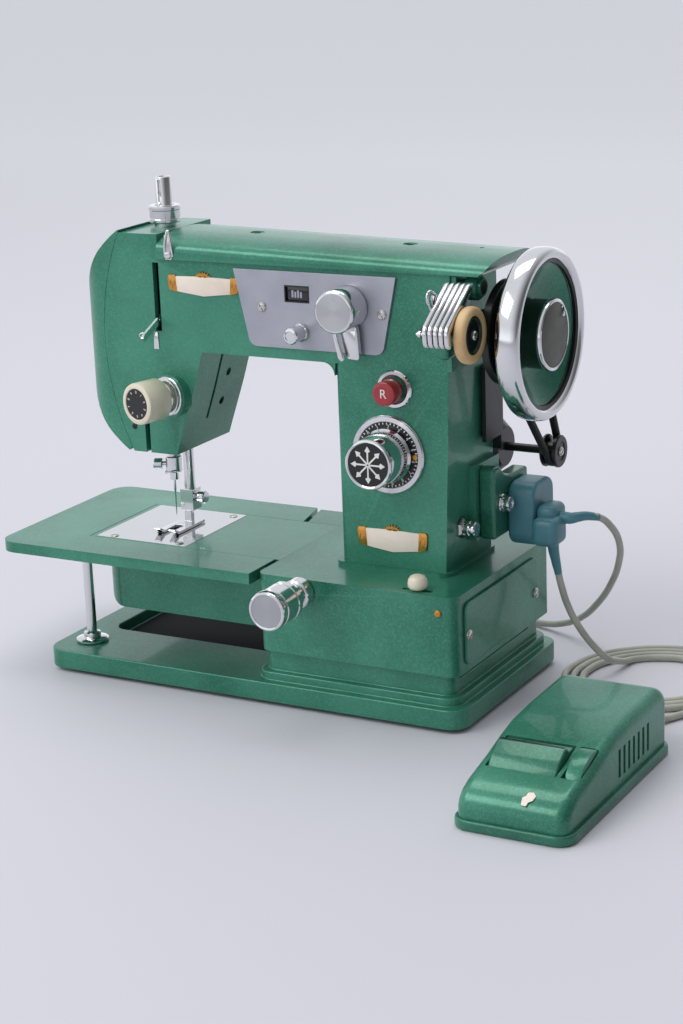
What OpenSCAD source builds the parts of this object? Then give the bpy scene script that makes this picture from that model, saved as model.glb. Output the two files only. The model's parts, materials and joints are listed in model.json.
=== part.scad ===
// Portable free-arm zigzag sewing machine with its foot pedal and leads.
// Millimetres. +X is the operator's right, -Y is the front, +Z is up.
// The origin is the middle of the base, on the surface that it stands on.

/* [Base] */
// Length of the base
base_length = 340; // [300:5:420]
// Depth of the base
base_depth = 166; // [160:2:200]
// Height of a rubber foot
foot_height = 3; // [2:0.5:5]
// Top of the base's flat lip
lip_top = 17; // [14:1:20]
// Top of the raised part of the base
riser_top = 39; // [34:1:44]

/* [Bed] */
// Top of the bed and of the table
bed_top = 95; // [88:1:105]
// Length of the bed block
block_length = 153; // [145:1:175]
// Wall of the castings
wall = 5; // [4:0.5:6]

/* [Free arm and table] */
// Width of the free arm
arm_width = 90; // [84:1:100]
// Underside of the free arm
arm_bottom = 43; // [41:1:50]
// How far the table reaches past the base on the left
table_overhang = 38; // [20:2:60]
// Thickness of the extension table
table_thick = 8; // [6:0.5:10]
// Radius of the table's leg
leg_r = 3.6; // [3:0.2:5]

/* [Head and pillar] */
// Depth of the head, arm and pillar, front to back
body_depth = 72; // [68:1:84]
// Height of the arm's underside
arm_under = 238; // [225:1:250]
// Height of the joint between casting and top cover
cover_joint = 303; // [298:1:315]
// Height of the top cover's crown
crown_top = 320; // [316:1:330]
// Width of the pillar at its foot
pillar_width = 81; // [74:1:90]

/* [Wheel and shafts] */
// Radius of the handwheel
wheel_r = 58; // [48:0.5:62]
// Radius of the main shaft
shaft_r = 6; // [5:0.5:8]
// Radius of the belt groove's floor on the handwheel
groove_r = 24; // [20:0.5:26]
// Radius of the motor pulley's groove floor
pulley_r = 6.5; // [5:0.5:8]
// Radius of the needle bar
needle_bar_r = 3.2; // [2.8:0.1:3.8]
// Radius of the presser bar
presser_bar_r = 4; // [3.5:0.1:4.5]

/* [Controls] */
// Radius of the stitch dial's knob
dial_r = 17.5; // [14:0.5:19]
// Radius of the width knob
width_knob_r = 15; // [12:0.5:17]
// Radius of the stitch length knob
feed_knob_r = 14; // [11:0.5:16]
// Radius of the thread tension knob
tension_r = 15; // [12:0.5:17]
// Radius of the reverse button
button_r = 8.5; // [7:0.5:10]

/* [Pedal and leads] */
// Length of the pedal
pedal_length = 172; // [150:2:200]
// Width of the pedal
pedal_width = 80; // [70:2:90]
// Diameter of a lead
lead_d = 5; // [4:0.5:6]

/* [Hidden] */
$fn = 64;

run = 0.06;            // radial clearance of a shaft in its bore
gap = 0.3;             // clearance between moving parts
eps = 0.01;            // overshoot of a cut

half_l = base_length / 2;
half_d = base_depth / 2;
block_right = half_l - 5;
block_left = block_right - block_length;
block_d = half_d - 5;
arm_y = arm_width / 2;
arm_left = -half_l + 28;
flange_left = arm_left - 7.5;
table_left = -half_l - table_overhang;
table_y = half_d - 2;
pillar_right = half_l - 32;
pillar_left = pillar_right - pillar_width;
front = -body_depth / 2;
back = body_depth / 2;
casting_end = pillar_right + 8;
under_top = arm_under + 6;

// needle and presser bars
bar_x = arm_left + 45;
needle_y = -8;
presser_y = 12;
plate_left = flange_left + 4.5;
plate_length = 77;
plate_top = bed_top + 0.2;

// head outline: the bulging end and the seam of its cover
nose_r = 98;
nose_x = bar_x + 38;
nose_z = 241;
seam_r = 185;
seam_x = bar_x + 151;
seam_z = 243;
slot_x = bar_x + 13;
lid_left = slot_x + 2.5;
lid_right = half_l + 6;
lid_half = body_depth / 2 + 2.5;
lid_fall = 6;          // how much lower the top cover is at its right end
lid_rise = 12;         // height of the crown over the top of the cover's straight side
lid_skin = 12;         // from the crown down to the cover's hollow
socket_xs = [lid_left + 61, lid_left + 181];
socket_r = 3;
function crown_at(x) = crown_top - lid_fall * (x - lid_left) / (lid_right - lid_left);

// wheel axis and belt plane
axis_z = cover_joint - 43;
flange_x = casting_end + 21;
flange_w = 6;
groove_w = 6;
groove_x = flange_x + flange_w;
belt_x = groove_x + groove_w / 2;
hub_flange_r = groove_r + 11.5;
rim_x = half_l + 16;
rim_w = 17;
rim_in = wheel_r - 9.3;
belt_w = 5.2;
belt_t = 4;
motor_r = 24;
motor_y = back + 1 + motor_r;
motor_z = 163.5;
motor_l = 85;
motor_right = pillar_right + 2;
bracket_top = 231;

// winder
tyre_r = 19;
tyre_w = 6;
winder_y = -56;
winder_z = axis_z + 8.5;
pivot_y = -24;
pivot_z = axis_z + 34;

// take-up lever's pin
take_y = -4;
take_z = axis_z + 15;

// controls on the front
panel_t = 2;
panel_y = front - panel_t;
dial_x = pillar_left + 40;
dial_z = 177.5;
button_x = dial_x + 6;
button_z = 223.4;
width_x = pillar_left + 14;
width_z = arm_under + 40;
small_x = width_x - 38;
small_z = arm_under + 20;
tension_x = bar_x + 21;
tension_z = 205;
tension_turn = 15;
feed_x = block_left + 35.5;
feed_z = bed_top - 9;
lever_x = pillar_right - 5;
lever_y = -block_d + 9;
switch_y = -14;
switch_z = 124;

// terminal box
pad_t = 7.5;
box_x = pillar_right + pad_t;
box_w = 12;
box_y0 = 2;
box_y1 = 58;

// pedal
pedal_x = half_l + 96;
pedal_back = -47;
pedal_front = pedal_back - pedal_length;
pedal_half = pedal_width / 2;
treadle_x0 = pedal_x - 29;
treadle_x1 = pedal_x + 17;
pivot_p = pedal_back - 112.5;
pivot_h = 27;

// leads: the coils lie flat on the surface
coil_turns_r = 60;
coil_x = pedal_x - 16;
coil_y = 66;
store_r = 28;
store_x = 40;
store_y = 175;
pedal_route_a = [
    [186, 36, 105.95], [186, 36, 101], [187, 38, 90], [189, 42, 72], [193, 46, 54], [200, 51, 37],
    [208, 57, 23], [215, 66, 12], [218, 78, 7], [217, 90, 5.5], [213, 101, 5], [207, 111, 5]
];
pedal_route_b = [
    [304, 44, 5], [300, 26, 4], [292, 8, 3], [283, -8, 4], [275, -22, 7.5], [269, -34, 12],
    [266, -44, 15.5], [266, pedal_back - 2, 16]
];
mains_route = [
    [box_x + box_w + 39.05, 34, 124], [200, 34.2, 124], [204, 36.5, 124.6], [208, 41, 124.6],
    [214, 50, 122], [218, 62, 113],
    [219, 76, 97], [213, 90, 77], [202, 102, 56], [187, 113, 36], [169, 124, 19], [149, 134, 8.5],
    [129, 142, 3.6], [109, 148, 2.7], [91, 153, 2.7], [76, 158, 3], [65, 163, 5]
];
tail_route = [
    [-13.95, 175, 11], [-11, 175, 11], [-7, 175, 10.6], [-3, 174, 9.4], [2, 172, 8], [8, 168, 7.5]
];

// ---------------------------------------------------------------- helpers
function arc(cx, cy, r, a0, a1, n = 8) =
    [for (i = [0 : n]) [cx + r * cos(a0 + (a1 - a0) * i / n), cy + r * sin(a0 + (a1 - a0) * i / n)]];

function round_rect(x0, y0, x1, y1, r, n = 6) = concat(
    arc(x0 + r, y0 + r, r, 180, 270, n), arc(x1 - r, y0 + r, r, 270, 360, n),
    arc(x1 - r, y1 - r, r, 0, 90, n), arc(x0 + r, y1 - r, r, 90, 180, n));

// an outline in X and Z, run along Y
module run_y(points, y0, y1) {
    translate([0, y1, 0]) rotate([90, 0, 0]) linear_extrude(y1 - y0) polygon(points);
}

// an outline in Y and Z, run along X
module run_x(points, x0, x1) {
    translate([x0, 0, 0]) rotate([90, 0, 90]) linear_extrude(x1 - x0) polygon(points);
}

// an outline in X and Y, run along Z
module run_z(points, z0, z1) {
    translate([0, 0, z0]) linear_extrude(z1 - z0) polygon(points);
}

module block(x0, x1, y0, y1, z0, z1) {
    translate([x0, y0, z0]) cube([x1 - x0, y1 - y0, z1 - z0]);
}

module rod_x(r, x0, x1, y, z) {
    translate([x0, y, z]) rotate([0, 90, 0]) cylinder(r = r, h = x1 - x0);
}

module rod_y(r, y0, y1, x, z) {
    translate([x, y1, z]) rotate([90, 0, 0]) cylinder(r = r, h = y1 - y0);
}

module rod_z(r, z0, z1, x, y) {
    translate([x, y, z0]) cylinder(r = r, h = z1 - z0);
}

// a turned piece on an axis along -Y: points are [radius, distance in front of y]
module turned_y(points, x, y, z) {
    translate([x, y, z]) rotate([90, 0, 0]) rotate_extrude() polygon(points);
}

// a turned piece on an axis along +X: points are [radius, x]
module turned_x(points, y, z) {
    translate([0, y, z]) rotate([0, 90, 0]) rotate_extrude() polygon(points);
}

// places a piece drawn along +Z onto the slanted thread tension axis
module on_tension() {
    translate([tension_x, front, tension_z]) rotate([0, 0, -tension_turn]) rotate([90, 0, 0]) children();
}

function unit(v) = v / norm(v);
function tangent_at(p, i) = unit(p[min(i + 1, len(p) - 1)] - p[max(i - 1, 0)]);
function ring_at(p, i, r, n, level) = let (t = tangent_at(p, i), a = unit(cross(t, level)), b = cross(t, a))
    [for (k = [0 : n - 1]) p[i] + r * (cos(360 * k / n) * a + sin(360 * k / n) * b)];

// a lead: one tube swept along its route; level is a direction the route never runs along
module lead(route, r, level, n = 8) {
    last = len(route) - 1;
    rings = [for (i = [0 : last]) each ring_at(route, i, r, n, level)];
    sides = [for (i = [0 : last - 1], k = [0 : n - 1])
        let (a = i * n + k, b = i * n + (k + 1) % n) each [[a, b, b + n], [a, b + n, a + n]]];
    ends = [[for (k = [0 : n - 1]) n - 1 - k], [for (k = [0 : n - 1]) last * n + k]];
    polyhedron(rings, [for (f = concat(sides, ends)) [for (j = [len(f) - 1 : -1 : 0]) f[j]]]);
}

// ---------------------------------------------------------------- base
recess_left = -half_l + 21;
recess_right = block_left - 6;

module plinth_base() {
    color("#3F8267") difference() {
        union() {
            run_z(round_rect(-half_l, -half_d, half_l, half_d, 14), foot_height, lip_top);
            run_z(round_rect(block_left - 5, -half_d + 6, half_l - 6, half_d - 6, 12), lip_top, lip_top + 6);
            run_z(round_rect(block_left, -half_d + 11, half_l - 11, half_d - 11, 8), lip_top + 6, riser_top);
        }
        run_z(round_rect(block_left + wall, -half_d + 16, half_l - 16, half_d - 16, 5),
            foot_height + wall, riser_top + eps);
        run_z(round_rect(recess_left, -25, recess_right, 60, 10), foot_height + wall, lip_top + eps);
        block(half_l - 13, half_l, -60, 50, riser_top - 6, riser_top - 3.5);
    }
}

module rubber_feet() {
    color("#1B1B1B")
        for (x = [-half_l + 20, half_l - 20], y = [-half_d + 17, half_d - 17])
            rod_z(9, 0, foot_height, x, y);
}

// ---------------------------------------------------------------- bed
wing_left = block_left - 36;

module bed_block() {
    color("#3F8267") difference() {
        union() {
            run_z(round_rect(block_left, -block_d, block_right, block_d, 8), riser_top, bed_top);
            run_z([[wing_left + 8, arm_y + gap], [block_left + 10, arm_y + gap], [block_left + 10, block_d],
                [wing_left + 0.7, block_d]], bed_top - 15, bed_top);
        }
        block(block_left + wall, block_right - wall, -block_d + wall, block_d - wall,
            riser_top - eps, bed_top - wall);
        block(block_left - eps, block_left + wall + 1, -arm_y + 7, arm_y - 7, arm_bottom + 7, bed_top - 7);
        block(pillar_left + 7, pillar_right - 7, front + 7, back - 7, bed_top - wall - 1, bed_top + 1);
        block(block_right - wall - 1, block_right + 1, -block_d + 16, block_d - 31, 48, bed_top - 11);
        block(lever_x - 11, lever_x + 11, lever_y - 2.2, lever_y + 2.2, bed_top - wall - 1, bed_top + 1);
        rod_y(3.5 + run, -block_d - 1, -block_d + wall + 1, feed_x, feed_z);
        rod_x(2.6, block_left - 1, block_left + wall + 1, -table_y + 20, bed_top - 4);
        rod_x(2.6, wing_left - 1, wing_left + 14, table_y - 16, bed_top - 4);
    }
}

module bed_side_cover() {
    color("#3F8267") run_x(round_rect(-block_d + 12, 44, block_d - 27, bed_top - 7, 6),
        block_right, block_right + 2);
}

// ---------------------------------------------------------------- free arm
module free_arm() {
    right = block_left;
    color("#3F8267") difference() {
        union() {
            intersection() {
                run_z(concat(arc(arm_left + 20, -arm_y + 20, 20, 180, 270),
                    [[right, -arm_y], [right, arm_y]], arc(arm_left + 20, arm_y - 20, 20, 90, 180)),
                    arm_bottom, bed_top - 6);
                run_y(concat(arc(arm_left + 18, arm_bottom + 18, 18, 180, 270),
                    [[right, arm_bottom], [right, bed_top], [arm_left, bed_top]]), -arm_y, arm_y);
            }
            block(flange_left, right, -arm_y, arm_y, bed_top - 6, bed_top);
        }
        block(arm_left + wall, right + eps, -arm_y + 20, arm_y - 20, arm_bottom + wall, bed_top - 6);
        block(arm_left + 20, right + eps, -arm_y + wall, arm_y - wall, arm_bottom + wall, bed_top - 6);
        block(plate_left - 0.1, plate_left + plate_length + 0.1, -arm_y + 1.4, arm_y - 1.4,
            bed_top - 2, bed_top + 1);
        block(plate_left + 10, plate_left + plate_length - 8, -arm_y + 9, arm_y - 9, bed_top - 7, bed_top);
    }
    // bearing wall of the hook shaft
    color("#3F8267") difference() {
        block(bar_x + 35, bar_x + 41, -24, 10, arm_bottom + wall, bed_top - 6);
        rod_x(4 + run, bar_x + 34, bar_x + 42, needle_y, 66);
    }
}

module needle_plate() {
    slot_y0 = needle_y - 14;
    slot_y1 = needle_y + 16;
    color("#D9DCDD") difference() {
        block(plate_left, plate_left + plate_length, -arm_y + 1.5, arm_y - 1.5, bed_top - 2, plate_top);
        block(bar_x - 4, bar_x + 4, needle_y - 1.5, needle_y + 1.5, bed_top - 3, bed_top + 1);
        for (dx = [-8, 8])
            block(bar_x + dx - 1.6, bar_x + dx + 1.6, slot_y0, slot_y1, bed_top - 3, bed_top + 1);
        block(bar_x - 1.6, bar_x + 1.6, needle_y + 4, slot_y1, bed_top - 3, bed_top + 1);
    }
}

// ---------------------------------------------------------------- casting
head_bottom = 161;
// angle on a circle at which it reaches a height
function rise_angle(r, z) = asin((z - seam_z) / r);
head_seam_r = seam_r - gap;

module head_outline_solid() {
    // head: from the cover's seam to the slanted right side
    run_y(concat(
        arc(seam_x, seam_z, head_seam_r, 180 - rise_angle(head_seam_r, crown_top),
            180 - rise_angle(head_seam_r, head_bottom), 24),
        [[bar_x + 22, head_bottom],
        [bar_x + 37, 203], [bar_x + 48, arm_under], [slot_x + 80, arm_under], [slot_x + 80, cover_joint],
        [lid_left - 0.2, cover_joint], [lid_left - 0.2, crown_top]]), front, back);
}

module head_cavity() {
    intersection() {
        run_y([[bar_x - 40, head_bottom + wall], [bar_x + 18, head_bottom + wall], [bar_x + 31, 203],
            [bar_x + 42, under_top], [slot_x + 81, under_top], [slot_x + 81, cover_joint + 1],
            [lid_left - 6, cover_joint + 1], [lid_left - 6, crown_top - 7], [bar_x - 40, crown_top - 7]],
            front + wall, back - wall);
    }
}

module arm_casting() {
    color("#3F8267") difference() {
        union() {
            head_outline_solid();
            // arm
            block(slot_x + 78, casting_end, front, back, arm_under, cover_joint);
            // pillar, a little wider at its top
            intersection() {
                run_z(round_rect(pillar_left, front, casting_end, back, 5), bed_top, arm_under + 8);
                run_y([[pillar_left, bed_top], [pillar_right, bed_top], [pillar_right + 6, arm_under + 8],
                    [pillar_left, arm_under + 8]], front, back);
            }
            run_z(round_rect(pillar_left - 4, front - 4, pillar_right + 4, back + 4, 8),
                bed_top, bed_top + 3);
            // inner corner between arm and pillar
            run_y(concat([[pillar_left + 1, arm_under + 1]],
                [for (p = arc(pillar_left - 9, arm_under - 9, 9, 90, 0)) p]), front, back);
            block(pillar_right - 4, pillar_right + pad_t, box_y0 - 5, back, 112, 165);
            on_tension() translate([0, 0, -5]) cylinder(r = 15.5, h = 8);
        }
        difference() {
            head_cavity();
            block(bar_x - 8, bar_x + 8, presser_y - 8, back, 172, 186);
            block(slot_x + 4, slot_x + 12, front, take_y + 8, take_z - 8, take_z + 8);
            block(slot_x + 36, slot_x + 42, front, back, arm_under, cover_joint);
        }
        block(slot_x + 79, casting_end - 7, front + wall, back - wall, under_top, cover_joint + 1);
        block(pillar_left + 6, pillar_right - 6, front + wall, back - wall, bed_top - 1, under_top + 1);
        // shaft bores
        rod_x(12, slot_x + 30, slot_x + 50, 0, axis_z);
        rod_x(12, casting_end - 8, casting_end + 1, 0, axis_z);
        // take-up lever's pin and slots
        rod_x(3 + run, slot_x + 3, slot_x + 13, take_y, take_z);
        block(slot_x - 2.5, slot_x + 2.5, front - 1, front + wall + 1, 251, 300);
        block(bar_x - 4, bar_x, front - 1, front + wall + 1, head_bottom - 1, 191);
        rod_y(1.6, front - 1, front + wall + 1, bar_x - 13, 180);
        // bars
        rod_z(presser_bar_r + run, 170, 188, bar_x, presser_y);
        block(bar_x - 10, bar_x + 10, needle_y - 9, presser_y + 8, head_bottom - 1, head_bottom + wall + 1);
        rod_z(8 + run, crown_top - 10, crown_top + 1, bar_x, 0);
        // presser lifter's pin
        rod_y(3 + run, back - wall - 1, back + 1, bar_x, 205);
        // lamp slot and holes in the head's right side
        run_x([[-7, 182], [-4, 182], [-4, 232], [-7, 232]], bar_x + 22, bar_x + 60);
        rod_x(3, bar_x + 20, bar_x + 60, 10, 214);
        rod_x(3, bar_x + 15, bar_x + 50, 10, 192);
        // control bores
        rod_y(5 + run, front - 1, front + wall + 1, width_x, width_z);
        rod_y(3 + run, front - 1, front + wall + 1, small_x, small_z);
        rod_y(4 + run, front - 1, front + wall + 1, dial_x, dial_z);
        rod_y(6 + run, front - 1, front + wall + 1, button_x, button_z);
        rod_x(4 + run, pillar_right - 8, pillar_right + 6, switch_y, switch_z);
        rod_x(7.6, pillar_right + 0.9, pillar_right + 6, switch_y, switch_z);
    }
    // hinge pintles of the face cover
    color("#3F8267") for (z = [214, 268]) {
        block(bar_x - 16, bar_x - 6, back, back + 6.5, z, z + 6);
        rod_z(1.5, z + 6 - eps, z + 14, bar_x - 13, back + 4);
    }
}

module face_cover() {
    hinge_x = bar_x - 13;
    hinge_y = back + 4;
    outer = concat([for (p = arc(nose_x, nose_z, nose_r, 124.5, 234.5, 24)) p],
        [for (p = arc(seam_x, seam_z, seam_r, 180 + 25.2, 180 - 25.2, 16)) p]);
    inner = concat([for (p = arc(nose_x, nose_z, nose_r - 3, 126.5, 232.5, 24)) p],
        [for (p = arc(seam_x + 1, seam_z, seam_r, 180 + 23.5, 180 - 23.5, 16)) p]);
    bulge = nose_x - nose_r;
    depth = 27;
    color("#3F8267") difference() {
        intersection() {
            run_y(outer, front, back);
            run_z(concat([for (a = [90 : 7.5 : 270]) [bulge + depth + depth * cos(a), -front * sin(a)]],
                [[bulge + 80, front], [bulge + 80, back]]), 140, 340);
        }
        intersection() {
            run_y(inner, front + 3, back - 3);
            run_z(concat([for (a = [90 : 7.5 : 270])
                [bulge + depth + (depth - 3) * cos(a), (-front - 3) * sin(a)]],
                [[bulge + 90, front + 3], [bulge + 90, back - 3]]), 140, 340);
        }
    }
    // hinge eyes, sitting on the pintles
    color("#3F8267") for (z = [214, 268]) difference() {
        union() {
            rod_z(3.4, z + 6.3, z + 13, hinge_x, hinge_y);
            block(hinge_x - 26, hinge_x, hinge_y - 1.8, hinge_y + 0.8, z + 6.3, z + 13);
            block(hinge_x - 26, hinge_x - 21.5, hinge_y - 5, hinge_y + 0.8, z + 6.3, z + 13);
        }
        rod_z(1.5 + run, z + 5, z + 14, hinge_x, hinge_y);
    }
}

// half of the cover's arched section, as points of a flattened ellipse
function lid_arch(a0, a1, n) = [for (i = [0 : n]) let (a = a0 + (a1 - a0) * i / n, f = 0.77)
    [lid_half * sign(cos(a)) * pow(abs(cos(a)), f), crown_top - lid_rise + lid_rise * pow(sin(a), f)]];

module top_cover() {
    lean = atan(lid_fall / (lid_right - lid_left));
    foot = 30;             // the raw cover reaches this far below its joint before it is cut flat
    color("#3F8267") difference() {
        intersection() {
            translate([lid_left, 0, crown_top]) rotate([0, lean, 0]) translate([-lid_left, 0, -crown_top])
                run_x(concat([[-lid_half, cover_joint - foot], [lid_half, cover_joint - foot]],
                    lid_arch(0, 180, 28)), lid_left - 2, lid_right + 2);
            run_y([[lid_left, cover_joint], [lid_right - 9, cover_joint], [lid_right - 4, cover_joint + 4],
                [lid_right, cover_joint + 11], [lid_right, crown_top + 1], [lid_left, crown_top + 1]],
                -lid_half, lid_half);
        }
        difference() {
            block(lid_left + 5, casting_end - 10, -lid_half + 7, lid_half - 7, cover_joint - 1,
                crown_top - lid_skin);
            for (x = socket_xs) rod_z(socket_r + 4, cover_joint + 3, crown_top, x, 0);
        }
        for (x = socket_xs) {
            rod_z(socket_r, cover_joint, crown_top + 1, x, 0);
            rod_z(socket_r + 2, crown_at(x) - 0.6, crown_top + 1, x, 0);
        }
        rod_z(1.5, crown_at(casting_end) - 9, crown_top + 1, casting_end + 4, 6);
    }
}

// ---------------------------------------------------------------- panel and trim
panel_left = small_x - 52;
window_x = small_x - 2;
window_z = 284.3;

module control_panel() {
    color("#A9ABB5") difference() {
        run_y(concat([[panel_left, cover_joint - 3.5]], arc(panel_left + 17, arm_under + 15, 7, 180, 270),
            arc(width_x + 19, arm_under + 15, 7, 270, 360), [[width_x + 36, cover_joint - 3.5]]),
            panel_y, front);
        block(window_x - 9, window_x + 9, panel_y - 1, front + 1, window_z - 5.2, window_z + 5.2);
        rod_y(5 + run, panel_y - 1, front + 1, width_x, width_z);
        rod_y(3 + run, panel_y - 1, front + 1, small_x, small_z);
    }
}

module panel_window() {
    color("#20282B") block(window_x - 8.9, window_x + 8.9, front - 1.6, front,
        window_z - 5.1, window_z + 5.1);
}

module badge(x, z, w, h) {
    run_y(concat([[x - w / 2, z - h / 2 + 2], [x, z - h / 2 - 2], [x + w / 2, z - h / 2 + 2],
        [x + w / 2 - 2, z + h / 2]], arc(x, z + h / 2, w / 8, 0, 180, 8), [[x - w / 2 + 2, z + h / 2]]),
        front - 1.5, front);
}

module blank_badges() {
    color("#F6E9DC") {
        badge(slot_x + 37, 285, 58, 13);
        badge(dial_x - 1, 116.5, 55, 15);
    }
}

module thread_guides() {
    color("#D9DCDD") {
        block(slot_x + 7, slot_x + 14, front - 4.1, front - 2.5, cover_joint + 1, crown_top - 1);
        rod_y(2.6, front - 5.6, front - 4.1, slot_x + 10.5, cover_joint + 4);
        block(bar_x + 8, bar_x + 14, front - 1.5, front, 231, 246);
        block(bar_x + 8, bar_x + 11, front - 5, front - 1.5, 240, 243);
    }
}

module tension_discs() {
    color("#C8CACB") on_tension() {
        translate([0, 0, 3]) cylinder(r = 13, h = 2.5);
        translate([0, 0, 5.5]) cylinder(r = 12.2, h = 2);
        translate([0, 0, 7.5]) cylinder(r = 13, h = 2);
        translate([0, 0, 9.5]) cylinder(r = 3, h = 22);
    }
}

module trim_rings() {
    color("#D9DCDD") {
        difference() {
            rod_y(27.5, front - 3, front, dial_x, dial_z);
            rod_y(4 + run, front - 4, front + 1, dial_x, dial_z);
            rod_y(25, front - 4, front - 2, dial_x, dial_z);
        }
        difference() {
            rod_y(13.2, front - 2, front, button_x, button_z);
            rod_y(9.5, front - 3, front + 1, button_x, button_z);
        }
        difference() {
            rod_x(7.5, pillar_right + 0.9, pillar_right + 3.5, switch_y, switch_z);
            rod_x(4.4, pillar_right, pillar_right + 4, switch_y, switch_z);
        }
    }
}

module case_screws() {
    color("#C8CACB") {
        for (p = [[-block_d + 15, 66], [block_d - 32, 62]])
            rod_x(3.6, block_right + 2, block_right + 4, p[0], p[1]);
        for (p = [[plate_left + 13, -arm_y + 6], [plate_left + plate_length - 8, -arm_y + 7],
            [plate_left + plate_length - 8, arm_y - 8]])
            rod_z(3.2, plate_top, plate_top + 0.8, p[0], p[1]);
        for (p = [[panel_left + 14, 274], [width_x + 25, 274]])
            rod_y(3.4, panel_y - 1.2, panel_y, p[0], p[1]);
        rod_x(6.5, box_x + box_w, box_x + box_w + 4, box_y0 + 12, 136);
        rod_y(3, -block_d - 1.6, -block_d, block_right - 13, 83.4);
    }
}

// ---------------------------------------------------------------- shafts and wheel
module shaft_bushes() {
    color("#B08D4F") {
        difference() {
            rod_x(12, slot_x + 36, slot_x + 42, 0, axis_z);
            rod_x(shaft_r + run, slot_x + 35, slot_x + 43, 0, axis_z);
        }
        difference() {
            rod_x(12, casting_end - 7, casting_end + 1.5, 0, axis_z);
            rod_x(shaft_r + run, casting_end - 8, casting_end + 2, 0, axis_z);
        }
    }
}

module main_shaft() {
    color("#B9BCBE") {
        difference() {
            rod_x(shaft_r, slot_x + 34, rim_x - 2, 0, axis_z);
            rod_x(3 + run, rim_x - 16, rim_x - 1, 0, axis_z);
        }
        difference() {
            rod_x(13, slot_x + 26, slot_x + 34, 0, axis_z);
            block(slot_x + 25, slot_x + 35, -14, 14, axis_z - 14, axis_z - 8);
        }
        rod_x(2.2, slot_x + 22, slot_x + 26, 0, axis_z + 9);
    }
}

module handwheel() {
    web = rim_x - 3;
    color("#3F8267") turned_x([
        [shaft_r, casting_end + 4], [14, casting_end + 4], [16, flange_x], [hub_flange_r, flange_x],
        [hub_flange_r, flange_x + flange_w], [groove_r, groove_x], [groove_r, groove_x + groove_w],
        [hub_flange_r - 4, groove_x + groove_w], [hub_flange_r - 4, web], [rim_in, rim_x + 6],
        [rim_in, rim_x + 9.5], [27, web + 2.5], [shaft_r, web + 2.5]], 0, axis_z);
}

module handwheel_rim() {
    color("#D9DCDD") turned_x(round_rect(rim_in, rim_x, wheel_r, rim_x + rim_w, 4.4), 0, axis_z);
}

module clutch_knob() {
    color("#9FA3A6") turned_x([[0, rim_x - 14], [3, rim_x - 14], [3, rim_x + 0.5], [22, rim_x + 0.5],
        [24.5, rim_x + 3], [24.5, rim_x + rim_w], [23, rim_x + rim_w + 2], [0, rim_x + rim_w + 2]],
        0, axis_z);
}

module motor_pulley() {
    color("#1B1B1B") turned_x([[0, motor_right - 20], [3, motor_right - 20], [3, groove_x - 2.5],
        [pulley_r + 5, groove_x - 2.5], [pulley_r + 5, groove_x - 0.5], [pulley_r, groove_x],
        [pulley_r, groove_x + groove_w], [pulley_r + 5, groove_x + groove_w + 0.5],
        [pulley_r + 5, groove_x + groove_w + 3], [0, groove_x + groove_w + 3]], motor_y, motor_z);
}

belt_d = norm([motor_y, motor_z - axis_z]);
belt_a = atan2(motor_z - axis_z, motor_y);
function belt_outline(big, small) = let (b = acos((big - small) / belt_d)) concat(
    arc(0, axis_z, big, belt_a + b, belt_a + 360 - b, 40),
    arc(motor_y, motor_z, small, belt_a - b, belt_a + b, 16));

module drive_belt() {
    color("#151515") difference() {
        run_x(belt_outline(groove_r + 0.5 + belt_t, pulley_r + 0.5 + belt_t),
            belt_x - belt_w / 2, belt_x + belt_w / 2);
        run_x(belt_outline(groove_r + 0.5, pulley_r + 0.5), belt_x - belt_w, belt_x + belt_w);
    }
}

module motor_housing() {
    color("#1E1E1E") difference() {
        union() {
            turned_x([[0, motor_right - motor_l], [18, motor_right - motor_l],
                [motor_r, motor_right - motor_l + 10], [motor_r, motor_right - 12], [14, motor_right],
                [0, motor_right]], motor_y, motor_z);
            block(pillar_left + 14, pillar_right - 18, back, motor_y, motor_z - 11, motor_z + 11);
            // bracket round the back corner of the pillar
            block(pillar_right - 28, pillar_right + 9.5, back, back + 4, motor_z + 5, bracket_top);
            block(pillar_right + 6.3, pillar_right + 9.5, 12, back + 4, motor_z + 15, bracket_top);
        }
        rod_x(3 + run, motor_right - 22, motor_right + 1, motor_y, motor_z);
    }
}

module hook_shaft() {
    color("#B9BCBE") {
        rod_x(4, bar_x + 16, block_left + 40, needle_y, 66);
        difference() {
            rod_x(15, bar_x + 4, bar_x + 16, needle_y, 66);
            rod_x(11, bar_x + 3, bar_x + 13, needle_y, 66);
        }
    }
}

// ---------------------------------------------------------------- needle and presser
module needle_gate() {
    color("#8F9396") difference() {
        union() {
            block(bar_x - 7, bar_x + 7, needle_y - 7, needle_y + 6, 196, 204);
            block(bar_x - 7, bar_x + 7, needle_y - 7, needle_y + 6, 226, 234);
            block(bar_x - 7, bar_x + 7, needle_y - 11, needle_y - 7, 196, 234);
        }
        for (z = [195, 225]) rod_z(needle_bar_r + run, z, z + 10, bar_x, needle_y);
    }
}

module needle_bar() {
    color("#D9DCDD") rod_z(needle_bar_r, 134, 262, bar_x, needle_y);
}

module needle() {
    color("#B9BCBE") {
        difference() {
            rod_z(6, 140, 152, bar_x, needle_y);
            rod_z(needle_bar_r, 139, 153, bar_x, needle_y);
        }
        rod_y(2.4, needle_y - 13, needle_y - 5.6, bar_x, 146);
        rod_z(0.8, 126, 134, bar_x, needle_y);
        rod_z(0.5, 106, 126, bar_x, needle_y);
    }
}

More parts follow.
